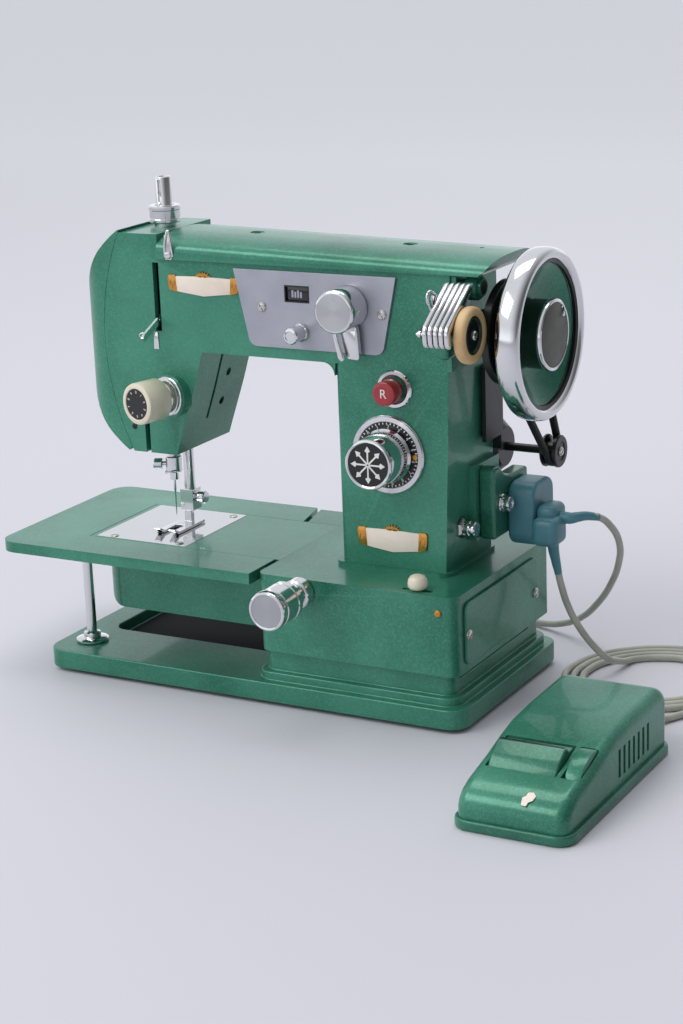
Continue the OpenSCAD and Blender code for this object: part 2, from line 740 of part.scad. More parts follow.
module take_up_lever() {
    eye_y = -57;
    eye_z = take_z - 25;
    color("#D9DCDD") {
        rod_x(3, slot_x - 1, slot_x + 11, take_y, take_z);
        run_x([[take_y - 3, take_z + 3.5], [take_y + 3, take_z + 3.5], [take_y + 3, take_z - 3.5],
            [eye_y + 1, eye_z - 2.5], [eye_y - 1, eye_z], [eye_y + 1, eye_z + 2.5],
            [eye_y + 23, eye_z + 12]], slot_x - 1, slot_x + 1);
    }
}

module presser_bar() {
    color("#D9DCDD") {
        rod_z(presser_bar_r, 112, 290, bar_x, presser_y);
        difference() {
            block(bar_x - 7, bar_x + 7, presser_y - 6, presser_y + 8, 190, 198);
            rod_z(presser_bar_r, 189, 199, bar_x, presser_y);
        }
    }
}

module presser_foot() {
    sole = plate_top + gap;
    color("#B9BCBE") difference() {
        union() {
            difference() {
                block(bar_x - 5.5, bar_x + 5.5, presser_y - 5.5, presser_y + 6, 106, 122);
                rod_z(presser_bar_r, 112, 123, bar_x, presser_y);
            }
            rod_x(2.6, bar_x + 5.5, bar_x + 13, presser_y, 116);
            block(bar_x - 3, bar_x + 3, presser_y - 5, presser_y - 1, sole + 2, 106);
            run_x([[needle_y - 18, sole + 4], [needle_y - 12, sole], [presser_y + 4, sole],
                [presser_y + 4, sole + 2], [needle_y - 11, sole + 2], [needle_y - 17, sole + 5]],
                bar_x - 9, bar_x + 9);
        }
        block(bar_x - 3.6, bar_x + 3.6, needle_y - 20, needle_y + 4, 90, 104);
    }
}

module presser_lifter() {
    color("#C8CACB") {
        rod_y(3, back - 15, back + 3, bar_x, 205);
        run_y(concat(arc(bar_x, 205, 7, 0, 180), [[bar_x - 4.5, 158]], arc(bar_x, 158, 4.5, 180, 360)),
            back + 0.6, back + 3.5);
    }
}

module pressure_pin() {
    color("#D9DCDD") difference() {
        rod_z(5.7, crown_top - 15, crown_top + 35.5, bar_x, 0);
        block(bar_x - 1.5, bar_x + 1.5, -7, -4.4, crown_top + 16, crown_top + 37);
    }
}

module pressure_ring() {
    color("#D9DCDD") difference() {
        union() {
            rod_z(8, crown_top - 5, crown_top + 4, bar_x, 0);
            rod_z(11.6, crown_top + 2.5, crown_top + 15, bar_x, 0);
        }
        rod_z(5.7 + run, crown_top - 6, crown_top + 16, bar_x, 0);
    }
}

// ---------------------------------------------------------------- controls
module tension_knob() {
    color("#ECE6CF") on_tension() difference() {
        union() {
            translate([0, 0, 10]) cylinder(r = 10, h = 3);
            translate([0, 0, 13]) cylinder(r = tension_r, h = 20);
            translate([0, 0, 33]) cylinder(r = tension_r - 1.5, h = 1.5);
        }
        translate([0, 0, 9]) cylinder(r = 3 + run, h = 23);
    }
}

module width_lever() {
    color("#D9DCDD") {
        turned_y([[0, -8], [5, -8], [5, panel_t + gap], [9, panel_t + gap], [width_knob_r, 7],
            [width_knob_r, 22], [width_knob_r - 1.5, 24], [0, 24]], width_x, front, width_z);
        run_y([[width_x - 7, width_z - 5], [width_x + 7, width_z - 5], [width_x + 8, width_z - 20],
            [width_x + 6.5, width_z - 34], [width_x - 3, width_z - 34]], front - 7, front - 3);
        rod_y(9, front - 24 + 17, front - panel_t - gap, width_x, width_z);
    }
}

module pattern_knob() {
    color("#D9DCDD") turned_y([[0, -8], [3, -8], [3, panel_t + gap], [5.8, panel_t + gap], [5.8, 16],
        [5, 17], [0, 17]], small_x, front, small_z);
}

module reverse_button() {
    color("#B5343A") turned_y([[0, -12], [6, -12], [6, 5.5], [button_r, 5.5], [button_r, 16],
        [button_r - 1, 17.5], [0, 17.5]], button_x, front, button_z);
}

module pattern_dial() {
    color("#D9DCDD") turned_y([[0, -8], [4, -8], [4, 3.3], [dial_r + 1.5, 3.3], [dial_r + 1.5, 5],
        [dial_r, 6.5], [dial_r, 30], [dial_r - 1.2, 31.5], [0, 31.5]], dial_x, front, dial_z);
}

module feed_knob() {
    color("#D9DCDD") turned_y([[0, -12], [3.5, -12], [3.5, gap], [10.5, gap], [10.5, 9], [8.5, 10], [8.5, 20],
        [feed_knob_r, 21], [feed_knob_r, 46], [feed_knob_r - 1.5, 47.5], [0, 47.5]],
        feed_x, -block_d, feed_z);
}

module drop_feed_lever() {
    color("#ECE6CF") {
        rod_z(1.8, bed_top - 12, bed_top + 2, lever_x, lever_y);
        translate([lever_x, lever_y, bed_top + gap]) rotate_extrude() polygon([[0, 0], [4, 0], [6.8, 2.2],
            [6.8, 6.5], [4.5, 9.5], [0, 10.5]]);
    }
}

module side_switch() {
    color("#D9DCDD") turned_x([[0, pillar_right - 10], [4, pillar_right - 10], [4, pillar_right + 6.5],
        [5.6, pillar_right + 6.5], [5.6, pillar_right + 12.5], [4.8, pillar_right + 13.5],
        [0, pillar_right + 13.5]], switch_y, switch_z);
}

// ---------------------------------------------------------------- winder
module winder_bracket() {
    color("#3F8267") {
        block(casting_end, casting_end + 4, front + 1.5, pivot_y + 14, pivot_z - 12, pivot_z + 8);
        rod_x(3, casting_end + 4, casting_end + 19, pivot_y, pivot_z);
        rod_x(6, casting_end + 16, casting_end + 19, pivot_y, pivot_z);
    }
}

module winder_arm() {
    x0 = casting_end + 4.5;
    top = cover_joint - 3.5;
    color("#C8CACB") difference() {
        union() {
            run_x([[pivot_y + 7, pivot_z - 5], [pivot_y + 7, pivot_z + 4], [pivot_y - 6, pivot_z + 5],
                [-46, top - 8], [-68, winder_z + 8], [-66, winder_z - 9], [winder_y, winder_z - 12],
                [winder_y + 9, winder_z - 7]], x0, x0 + 4);
            rod_x(7, x0, x0 + 13, winder_y, winder_z);
            // ribbed cover over the bobbin
            run_x([[-41, top], [-39, top - 3], [-46, top - 7], [-72, winder_z + 3], [-76, winder_z + 2],
                [-75, winder_z + 8]], x0 - 4, x0 + 15);
            for (i = [0 : 4])
                run_x([[-43, top], [-75, winder_z + 7], [-79, winder_z + 2], [-79, winder_z + 10],
                    [-46, top + 2]], x0 - 4 + i * 4, x0 - 1.6 + i * 4);
        }
        rod_x(3 + run, x0 - 1, x0 + 20, pivot_y, pivot_z);
        rod_x(3 + run, x0 - 5, x0 + 20, winder_y, winder_z);
    }
}

module winder_spindle() {
    x0 = flange_x;
    color("#E0BD84") turned_x([[0, casting_end - 13], [3, casting_end - 13], [3, x0 - 0.2], [8, x0 - 0.2],
        [8, x0], [tyre_r - 1, x0], [tyre_r, x0 + 1], [tyre_r, x0 + tyre_w - 1], [tyre_r - 1, x0 + tyre_w],
        [9, x0 + tyre_w], [6, x0 + tyre_w + 2], [0, x0 + tyre_w + 2]], winder_y, winder_z);
}

// ---------------------------------------------------------------- table
module extension_table() {
    z0 = bed_top - table_thick;
    right = block_left - 4;
    back_right = wing_left - 4;
    inner = flange_left - gap - 0.2;
    color("#3F8267") {
        difference() {
            run_z(concat(arc(table_left + 14, -table_y + 14, 14, 180, 270),
                [[right, -table_y], [right, -arm_y - gap], [inner, -arm_y - gap], [inner, arm_y + gap],
                [back_right + 8, arm_y + gap], [back_right, table_y]],
                arc(table_left + 14, table_y - 14, 14, 90, 180)), z0, bed_top);
            block(table_left + 14, inner - 4, -table_y + 14, table_y - 14, z0 - 1, bed_top - 3);
            block(inner + 14, right - 4, -table_y + 4, -arm_y - gap - 4, z0 - 1, bed_top - 3);
            block(inner, back_right - 8, arm_y + gap + 4, table_y - 4, z0 - 1, bed_top - 3);
        }
        rod_x(2.5, right - 4, right + 7, -table_y + 20, bed_top - 4);
        rod_x(2.5, back_right - 4, back_right + 7, table_y - 16, bed_top - 4);
    }
}

module table_leg() {
    x = flange_left + 2.5;
    y = -arm_y - 10;
    color("#D9DCDD") {
        rod_z(leg_r, lip_top + 3, bed_top - table_thick, x, y);
        translate([x, y, lip_top + gap]) rotate_extrude() polygon([[0, 0], [12, 0], [12, 2], [6, 3.5],
            [0, 3.5]]);
        rod_z(5.5, bed_top - table_thick - 3, bed_top - table_thick, x, y);
    }
}

module feed_dog() {
    color("#B9BCBE") {
        for (dx = [-8, 8])
            block(bar_x + dx - 1.1, bar_x + dx + 1.1, needle_y - 11, needle_y + 13, 86, plate_top - 0.1);
        block(bar_x - 1.1, bar_x + 1.1, needle_y + 6.5, needle_y + 13, 86, plate_top - 0.1);
        block(bar_x - 12, bar_x + 12, needle_y + 4, needle_y + 20, 84, 87.5);
    }
}

// ---------------------------------------------------------------- terminal box and plug
module terminal_box() {
    color("#3F8267") run_x(concat([[box_y0, 112]], [[box_y1, 112], [box_y1, 152], [box_y1 - 26, 152],
        [box_y0 + 18, 156], [box_y0 + 10, 163]], arc(box_y0 + 4, 159, 4, 90, 180)), box_x, box_x + box_w);
}

module socket_block() {
    x0 = box_x + box_w;
    color("#5B919C") run_x(round_rect(box_y0 + 20, 103, box_y0 + 56, 148, 10), x0, x0 + 20);
}

module plug_cap() {
    x0 = box_x + box_w + 20;
    color("#5B919C") {
        run_x(round_rect(box_y0 + 14, 106, box_y0 + 44, 133, 8), x0, x0 + 19);
    }
}

// ---------------------------------------------------------------- pedal
module pedal_base() {
    color("#2B6350")
        run_z(round_rect(pedal_x - pedal_half, pedal_front, pedal_x + pedal_half, pedal_back, 12), 0, 7);
}

function pedal_profile(in) = concat([[pedal_front + 2 + in, 7], [pedal_back - 2 - in, 7]],
    arc(pedal_back - 14 - in * 0.5, 34 - in * 0.5, 12 - in * 0.5, 0, 90),
    [[pedal_back - 94, 43.5 - in], [pedal_back - 99, 37.5 - in], [pedal_front + 16, 26 - in],
    [pedal_front + 5 + in, 20 - in]]);

module pedal_housing() {
    side = pedal_half - 3;
    color("#3F8267") difference() {
        intersection() {
            run_x(pedal_profile(0), pedal_x - side, pedal_x + side);
            run_z(round_rect(pedal_x - side, pedal_front + 2, pedal_x + side, pedal_back - 2, 10), 7, 50);
        }
        difference() {
            run_x([[pedal_front + 7, 6], [pedal_back - 6, 6], [pedal_back - 6, 33], [pedal_back - 14, 40],
                [pedal_back - 93, 39], [pedal_back - 99, 33.5], [pedal_front + 18, 22]],
                pedal_x - side + 3, pedal_x + side - 3);
            // lugs for the treadle's and the side lever's pivots
            for (x = [treadle_x0 - 4.5, treadle_x1 + 0.5, treadle_x1 + 15.5])
                block(x, x + (x > pedal_x ? 3 : 4), pivot_p - 5, pivot_p + 5, 21, 40);
        }
        rod_x(2 + run, treadle_x0 - 3, treadle_x1 + 17.5, pivot_p, pivot_h);
        block(treadle_x0 - 0.5, treadle_x1 + 0.5, pedal_back - 140, pedal_back - 108, 15, 60);
        block(treadle_x1 + 3.5, treadle_x1 + 15.5, pedal_back - 140, pedal_back - 108, 15, 60);
        for (i = [0 : 6])
            block(pedal_x + side - 4, pedal_x + side + 1, pedal_back - 40 - i * 8, pedal_back - 36 - i * 8,
                14, 32);
    }
}

module pedal_treadle() {
    y0 = pedal_back - 108.5;
    color("#3F8267") {
        run_x([[y0, 24], [y0, 40], [y0 - 2, 42.5], [y0 - 8, 42.5], [y0 - 29, 33], [y0 - 31, 30],
            [y0 - 31, 22]], treadle_x0, treadle_x1);
        rod_x(2, treadle_x0 - 1.8, treadle_x1 + 1.8, pivot_p, pivot_h);
    }
}

module pedal_side_lever() {
    y0 = pedal_back - 108.5;
    color("#3F8267") {
        run_x([[y0, 24], [y0, 38], [y0 - 3, 40], [y0 - 8, 40], [y0 - 29, 31], [y0 - 31, 22]],
            treadle_x1 + 4, treadle_x1 + 15);
        rod_x(2, treadle_x1 + 2.2, treadle_x1 + 16.8, pivot_p, pivot_h);
    }
}

// ---------------------------------------------------------------- leads
module lead_coil(x, y, r, w, h) {
    translate([x, y, 0]) rotate_extrude()
        polygon(round_rect(r - w / 2, 0, r + w / 2, h, lead_d / 2 - 0.3, 3));
}

module pedal_cord() {
    color("#B9B9AC") {
        lead(pedal_route_a, lead_d / 2, [-4, 10, 0]);
        lead(pedal_route_b, lead_d / 2, [0, 0, 1]);
    }
}

module pedal_coil() {
    color("#B9B9AC") lead_coil(coil_x, coil_y, coil_turns_r, 2 * lead_d, 2 * lead_d);
}

module mains_cord() {
    color("#B9B9AC") {
        lead(mains_route, lead_d / 2, [0, 0, 1]);
        lead(tail_route, lead_d / 2, [0, 0, 1]);
    }
}

module mains_coil() {
    color("#B9B9AC") lead_coil(store_x, store_y, store_r, 4 * lead_d, 2 * lead_d);
}

module mains_plug() {
    color("#5B919C") {
        block(-50, -14, store_y - 14, store_y + 14, 0, 22);
        for (dy = [-9.5, 9.5]) rod_x(2.4, -69, -50, store_y + dy, 11);
    }
}

plinth_base();
rubber_feet();
bed_block();
bed_side_cover();
free_arm();
needle_plate();
arm_casting();
top_cover();
control_panel();
panel_window();
blank_badges();
thread_guides();
tension_discs();
trim_rings();
winder_bracket();
motor_housing();
terminal_box();
socket_block();
case_screws();
shaft_bushes();
drive_belt();
handwheel();
handwheel_rim();
main_shaft();
clutch_knob();
motor_pulley();
hook_shaft();
needle_gate();
needle_bar();
needle();
take_up_lever();
presser_bar();
presser_foot();
presser_lifter();
pressure_pin();
pressure_ring();
tension_knob();
width_lever();
pattern_knob();
reverse_button();
pattern_dial();
feed_knob();
drop_feed_lever();
side_switch();
winder_arm();
winder_spindle();
extension_table();
table_leg();
face_cover();
feed_dog();
pedal_base();
pedal_housing();
pedal_treadle();
pedal_side_lever();
plug_cap();
pedal_cord();
pedal_coil();
mains_cord();
mains_coil();
mains_plug();
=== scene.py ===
import json
import math
import bmesh
import bpy
from mathutils import Matrix, Vector


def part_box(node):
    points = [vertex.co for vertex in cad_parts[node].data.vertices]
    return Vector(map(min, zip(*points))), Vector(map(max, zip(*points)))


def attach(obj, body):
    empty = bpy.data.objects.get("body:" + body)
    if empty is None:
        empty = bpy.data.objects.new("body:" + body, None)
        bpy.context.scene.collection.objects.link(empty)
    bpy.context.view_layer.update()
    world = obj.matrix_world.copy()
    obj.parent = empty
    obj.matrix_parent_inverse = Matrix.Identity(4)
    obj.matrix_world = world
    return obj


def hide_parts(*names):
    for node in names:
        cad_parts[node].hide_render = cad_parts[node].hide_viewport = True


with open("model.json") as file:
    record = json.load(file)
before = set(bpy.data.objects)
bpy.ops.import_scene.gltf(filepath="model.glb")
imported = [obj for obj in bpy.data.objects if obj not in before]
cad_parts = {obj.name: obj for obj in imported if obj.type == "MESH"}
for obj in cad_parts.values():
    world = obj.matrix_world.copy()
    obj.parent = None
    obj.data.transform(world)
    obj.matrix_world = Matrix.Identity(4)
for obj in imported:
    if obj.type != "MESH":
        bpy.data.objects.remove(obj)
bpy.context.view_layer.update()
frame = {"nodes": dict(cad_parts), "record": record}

mm = 0.001
nodes = frame["nodes"]


def hexColour(code):  # sRGB hex to linear
    parts = [int(code[i:i + 2], 16) / 255 for i in (1, 3, 5)]
    return [c / 12.92 if c <= 0.04045 else ((c + 0.055) / 1.055) ** 2.4 for c in parts] + [1.0]


def addNode(tree, kind, settings=None, links=None):
    made = tree.nodes.new(kind)
    for key, value in (settings or {}).items():
        if isinstance(key, int) or key in made.inputs:
            made.inputs[key].default_value = value
        else:
            setattr(made, key, value)
    for key, source in (links or {}).items():
        tree.links.new(source, made.inputs[key])
    return made


def newMaterial(name):
    made = bpy.data.materials.new(name)
    made.use_nodes = True
    tree = made.node_tree
    shader = tree.nodes["Principled BSDF"]
    place = addNode(tree, "ShaderNodeTexCoord")
    return made, tree, shader, place.outputs["Object"]


def rampStops(ramp, stops):
    points = ramp.color_ramp.elements
    while len(points) < len(stops):
        points.new(0.5)
    for point, (position, colour) in zip(points, stops):
        point.position = position
        point.color = colour


def clearSelection():
    if bpy.context.object and bpy.context.object.mode != "OBJECT":
        bpy.ops.object.mode_set(mode="OBJECT")
    for o in bpy.context.selected_objects:
        o.select_set(False)


def pick(piece):
    clearSelection()
    piece.select_set(True)
    bpy.context.view_layer.objects.active = piece


def applyModifier(piece, kind, **settings):
    pick(piece)
    made = piece.modifiers.new(kind.title(), kind)
    for key, value in settings.items():
        setattr(made, key, value)
    bpy.ops.object.modifier_apply(modifier=made.name)


def chooseFaces(piece, test):  # edit mode: selects only the faces that pass the test
    bpy.ops.mesh.select_mode(type="FACE")
    bpy.ops.mesh.select_all(action="DESELECT")
    shape = bmesh.from_edit_mesh(piece.data)
    for face in shape.faces:
        face.select_set(bool(test(face)))
    bmesh.update_edit_mesh(piece.data)


def finishPiece(piece, material, body, stands=(), smooth=32, even=False):
    pick(piece)
    bpy.ops.object.transform_apply(location=True, rotation=True, scale=True)
    if smooth:
        bpy.ops.object.shade_smooth_by_angle(angle=math.radians(smooth))
    if even:
        applyModifier(piece, "WEIGHTED_NORMAL", keep_sharp=True, weight=100)
    piece.data.materials.clear()
    piece.data.materials.append(material)
    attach(piece, body)
    if stands:
        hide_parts(*stands)
    return piece


def turnedPiece(name, centre, axis, profile, steps=64, closed=False):
    # a lathe job: rings of (radius, distance along the axis) in millimetres
    clearSelection()
    direction = Vector(axis).normalized()
    base = Vector(centre)
    radius, along = profile[0]
    bpy.ops.mesh.primitive_circle_add(
        vertices=steps, radius=radius * mm, fill_type="NOTHING",
        location=base + direction * along * mm,
        rotation=direction.to_track_quat("Z", "Y").to_euler())
    piece = bpy.context.object
    piece.name = name
    bpy.ops.object.mode_set(mode="EDIT")
    bpy.ops.mesh.select_mode(type="EDGE")
    bpy.ops.mesh.select_all(action="SELECT")
    for nextRadius, nextAlong in profile[1:]:
        bpy.ops.mesh.extrude_edges_move(
            TRANSFORM_OT_translate={"value": direction * (nextAlong - along) * mm})
        grow = nextRadius / radius
        if abs(grow - 1) > 1e-6:
            bpy.ops.transform.resize(value=(grow, grow, grow),
                                     center_override=base + direction * nextAlong * mm)
        radius, along = nextRadius, nextAlong
    bpy.ops.mesh.select_all(action="SELECT")
    if closed:
        bpy.ops.mesh.remove_doubles(threshold=0.00001)
    else:
        bpy.ops.mesh.fill_holes(sides=0)
    bpy.ops.mesh.select_all(action="SELECT")
    bpy.ops.mesh.normals_make_consistent(inside=False)
    bpy.ops.object.mode_set(mode="OBJECT")
    return piece


def blockPiece(name, low, high, bevel=0.5, segments=3):
    clearSelection()
    low, high = Vector(low), Vector(high)
    bpy.ops.mesh.primitive_cube_add(size=1, location=(low + high) / 2, scale=high - low)
    piece = bpy.context.object
    piece.name = name
    bpy.ops.object.transform_apply(location=True, rotation=True, scale=True)
    if bevel:
        bpy.ops.object.mode_set(mode="EDIT")
        bpy.ops.mesh.select_all(action="SELECT")
        bpy.ops.mesh.bevel(offset=bevel * mm, segments=segments, affect="EDGES")
        bpy.ops.object.mode_set(mode="OBJECT")
    return piece


def platePiece(name, outline, push, bevel=0.4, segments=3):
    # an outline of points in metres, pushed out along a vector, its edges rounded
    clearSelection()
    mesh = bpy.data.meshes.new(name)
    mesh.from_pydata([tuple(p) for p in outline], [], [list(range(len(outline)))])
    piece = bpy.data.objects.new(name, mesh)
    bpy.context.scene.collection.objects.link(piece)
    pick(piece)
    bpy.ops.object.mode_set(mode="EDIT")
    bpy.ops.mesh.select_all(action="SELECT")
    bpy.ops.mesh.extrude_region_move(TRANSFORM_OT_translate={"value": Vector(push)})
    bpy.ops.mesh.select_all(action="SELECT")
    bpy.ops.mesh.normals_make_consistent(inside=False)
    bpy.ops.object.mode_set(mode="OBJECT")
    if bevel:
        applyModifier(piece, "BEVEL", width=bevel * mm, segments=segments,
                      limit_method="ANGLE", angle_limit=math.radians(40))
    return piece


def softCopy(node, name, bevel=1.0, segments=3, angle=28):
    # the casting's own shape with its sharp edges rounded as a foundry pattern is
    mesh = nodes[node].data.copy()
    piece = bpy.data.objects.new(name, mesh)
    bpy.context.scene.collection.objects.link(piece)
    pick(piece)
    bpy.ops.object.mode_set(mode="EDIT")
    bpy.ops.mesh.select_all(action="SELECT")
    bpy.ops.mesh.remove_doubles(threshold=0.00001)
    bpy.ops.mesh.dissolve_limited(angle_limit=math.radians(0.5))
    bpy.ops.object.mode_set(mode="OBJECT")
    if bevel:
        applyModifier(piece, "BEVEL", width=bevel * mm, segments=segments, limit_method="ANGLE",
                      angle_limit=math.radians(angle), use_clamp_overlap=True)
    return piece


def cutWith(piece, tool):
    applyModifier(piece, "BOOLEAN", object=tool, operation="DIFFERENCE", solver="EXACT")
    bpy.data.objects.remove(tool)


def joinPieces(first, *others):
    pick(first)
    for other in others:
        other.select_set(True)
    bpy.ops.object.join()
    return first


print("stage: helpers ready")


def cornersOf(node):  # a node's box at rest, in millimetres
    low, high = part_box(node)
    return [c / mm for c in low], [c / mm for c in high]


def at(x, y, z):
    return Vector((x, y, z)) * mm


def turnAbout(centre, axis, degrees):
    return (Matrix.Translation(centre) @ Matrix.Rotation(math.radians(degrees), 4, Vector(axis))
            @ Matrix.Translation(-Vector(centre)))


def ringOf(piece, centre, axis, angles):  # the first is modelled, the rest are copies of its mesh
    copies = []
    for i, angle in enumerate(angles):
        mesh = piece.data.copy()
        mesh.transform(turnAbout(centre, axis, angle))
        other = bpy.data.objects.new(f"{piece.name}_{i + 2}", mesh)
        bpy.context.scene.collection.objects.link(other)
        copies.append(other)
    return joinPieces(piece, *copies)


def wirePiece(name, points, radius, closed=False, radii=None):
    line = bpy.data.curves.new(name, "CURVE")
    line.dimensions = "3D"
    line.bevel_depth = radius * mm
    line.bevel_resolution = 4
    line.resolution_u = 8
    line.use_fill_caps = True
    spline = line.splines.new("BEZIER")
    spline.bezier_points.add(len(points) - 1)
    spline.use_cyclic_u = closed
    for i, (knot, place) in enumerate(zip(spline.bezier_points, points)):
        knot.co = Vector(place) * mm
        knot.handle_left_type = knot.handle_right_type = "AUTO"
        knot.radius = radii[i] if radii else 1.0
    piece = bpy.data.objects.new(name, line)
    bpy.context.scene.collection.objects.link(piece)
    pick(piece)
    bpy.ops.object.convert(target="MESH")
    return bpy.context.object


def screwPiece(name, centre, axis, radius, height=1.6, cross=False):
    # a domed head with a sawn slot
    screw = turnedPiece(name, centre, axis, [
        (radius * 0.98, -0.4), (radius, 0), (radius, height * 0.35), (radius * 0.8, height * 0.8),
        (radius * 0.45, height), (0.15, height)], 32)
    facing = Vector(axis).normalized().to_track_quat("Z", "Y").to_euler()
    for angle in ((0.6, 0.6 + math.pi / 2) if cross else (0.6,)):
        clearSelection()
        bpy.ops.mesh.primitive_cube_add(size=1,
            location=Vector(centre) + Vector(axis).normalized() * height * mm,
                                        rotation=facing)
        saw = bpy.context.object
        saw.scale = (radius * 2.2 * mm, radius * 0.28 * mm, height * 0.9 * mm)
        saw.rotation_euler.rotate_axis("Z", angle)
        pick(saw)
        bpy.ops.object.transform_apply(location=True, rotation=True, scale=True)
        cutWith(screw, saw)
    return screw


def letterPiece(name, text, size, place, push=0.25):
    # place is a matrix: the letter stands in its X and Y and faces its Z
    clearSelection()
    bpy.ops.object.text_add()
    letter = bpy.context.object
    letter.name = name
    letter.data.body = text
    letter.data.size = size * mm
    letter.data.extrude = push * mm
    letter.data.align_x = "CENTER"
    letter.data.align_y = "CENTER"
    pick(letter)
    bpy.ops.object.convert(target="MESH")
    letter = bpy.context.object
    letter.data.transform(place)
    return letter


def faceFrame(centre, outward, up=(0, 0, 1)):  # X right, Y up, Z out of the face
    out = Vector(outward).normalized()
    side = Vector(up).cross(out).normalized()
    rise = out.cross(side)
    frameMatrix = Matrix((side, rise, out)).transposed().to_4x4()
    return Matrix.Translation(centre) @ frameMatrix


def flatShape(name, points, place, depth, bevel=0.12):
    # a cut-out of points in millimetres, laid on a face and raised by its depth
    outline = [place @ Vector((x * mm, y * mm, 0)) for x, y in points]
    push = (place.to_3x3() @ Vector((0, 0, 1))).normalized() * depth * mm
    return platePiece(name, outline, push, bevel, 2)


def fluteSides(piece, centre, axis, near, far, radius, count, depth):
    # knurling: every second strip of the side is pressed in
    pick(piece)
    bpy.ops.object.mode_set(mode="EDIT")
    direction = Vector(axis).normalized()
    base = Vector(centre)
    reference = direction.orthogonal().normalized()
    other = direction.cross(reference)

    def isStrip(face):
        middle = face.calc_center_median() - base
        along = middle.dot(direction) / mm
        out = middle - direction * middle.dot(direction)
        if not near < along < far or abs(face.normal.dot(direction)) > 0.3 or out.length < radius * 0.8 * mm:
            return False
        turn = math.atan2(out.dot(other), out.dot(reference)) / (2 * math.pi) * count * 2
        return int(math.floor(turn + 1000)) % 2 == 0

    chooseFaces(piece, isStrip)
    bpy.ops.mesh.inset(thickness=0.00002, use_individual=True)
    bpy.ops.transform.shrink_fatten(value=-depth * mm)
    bpy.ops.object.mode_set(mode="OBJECT")
    return piece


def roundTube(name, centre, axis, near, far, inner, outer, power=2.4, points=20, steps=128):
    # a ring of fat oval section
    mid, half = (inner + outer) / 2, (outer - inner) / 2
    along, reach = (near + far) / 2, (far - near) / 2
    section = []
    for i in range(points + 1):
        a = 2 * math.pi * i / points
        c, s = math.cos(a), math.sin(a)
        section.append((mid + half * math.copysign(abs(c) ** (2 / power), c),
                        along + reach * math.copysign(abs(s) ** (2 / power), s)))
    return turnedPiece(name, centre, axis, section, steps, closed=True)


print("stage: shaping helpers ready")

joints = {j["name"]: j for j in frame["record"]["behaviour"]["joints"]}
pivots = {name: Vector(j["pos_m"]) for name, j in joints.items() if "pos_m" in j}

def noiseBump(tree, place, scale, distance, detail=2.0, strength=0.3):
    noise = addNode(tree, "ShaderNodeTexNoise", {"Scale": scale, "Detail": detail}, {"Vector": place})
    return addNode(tree, "ShaderNodeBump", {"Strength": strength, "Distance": distance},
                   {"Height": noise.outputs["Fac"]})


def metallicEnamel(name, base, light, dark):
    # stoved metallic enamel: aluminium flake under clear lacquer, a slight orange peel on castings
    made, tree, shader, place = newMaterial(name)
    # the flake is drawn 1 mm wide, coarser than real flake, so that it shows
    flakes = addNode(tree, "ShaderNodeTexVoronoi", {"Scale": 900.0}, {"Vector": place})
    cloud = addNode(tree, "ShaderNodeTexNoise", {"Scale": 14.0, "Detail": 4.0}, {"Vector": place})
    tone = addNode(tree, "ShaderNodeValToRGB", links={"Fac": flakes.outputs["Color"]})
    rampStops(tone, [(0.0, hexColour(dark)), (0.55, hexColour(base)), (1.0, hexColour(light))])
    age = addNode(tree, "ShaderNodeValToRGB", links={"Fac": cloud.outputs["Fac"]})
    rampStops(age, [(0.3, hexColour(base)), (0.7, hexColour(light))])
    mix = addNode(tree, "ShaderNodeMix", {"data_type": "RGBA", "Factor": 0.35})
    tree.links.new(age.outputs["Color"], mix.inputs["A"])
    tree.links.new(tone.outputs["Color"], mix.inputs["B"])
    # convex edges are mixed towards the light colour: edge wear and a painted highlight along the edges
    edgeWearAndHighlightShape = addNode(tree, "ShaderNodeNewGeometry")
    edge = addNode(tree, "ShaderNodeMapRange", {"From Min": 0.53, "From Max": 0.60, "To Max": 0.35},
                   {"Value": edgeWearAndHighlightShape.outputs["Pointiness"]})
    edgeWearAndHighlightColour = addNode(tree, "ShaderNodeMix", {"data_type": "RGBA"}, {"Factor": edge.outputs["Result"]})
    tree.links.new(mix.outputs["Result"], edgeWearAndHighlightColour.inputs["A"])
    edgeWearAndHighlightColour.inputs["B"].default_value = hexColour(light)
    tree.links.new(edgeWearAndHighlightColour.outputs["Result"], shader.inputs["Base Color"])
    bump = noiseBump(tree, place, 420.0, 0.0004, strength=0.10)
    tree.links.new(bump.outputs["Normal"], shader.inputs["Normal"])
    grime = addNode(tree, "ShaderNodeTexNoise", {"Scale": 30.0, "Detail": 5.0}, {"Vector": place})
    gloss = addNode(tree, "ShaderNodeMapRange", {"To Min": 0.26, "To Max": 0.40},
                    {"Value": grime.outputs["Fac"]})
    tree.links.new(gloss.outputs["Result"], shader.inputs["Roughness"])
    shader.inputs["Metallic"].default_value = 0.3
    shader.inputs["Specular IOR Level"].default_value = 0.35
    shader.inputs["Coat Weight"].default_value = 0.32
    shader.inputs["Coat Roughness"].default_value = 0.06
    return made


def polishedMetal(name, colour, low, high, scratch=0.12):
    # plated or polished metal: mirror finish with fine wiping marks and finger haze
    made, tree, shader, place = newMaterial(name)
    haze = addNode(tree, "ShaderNodeTexNoise", {"Scale": 60.0, "Detail": 6.0}, {"Vector": place})
    spread = addNode(tree, "ShaderNodeMapRange",
        {"From Min": 0.35, "From Max": 0.7, "To Min": low, "To Max": high},
                     {"Value": haze.outputs["Fac"]})
    tree.links.new(spread.outputs["Result"], shader.inputs["Roughness"])
    shader.inputs["Base Color"].default_value = hexColour(colour)
    shader.inputs["Metallic"].default_value = 1.0
    bump = noiseBump(tree, place, 1500.0, 0.0001, strength=scratch)
    tree.links.new(bump.outputs["Normal"], shader.inputs["Normal"])
    return made


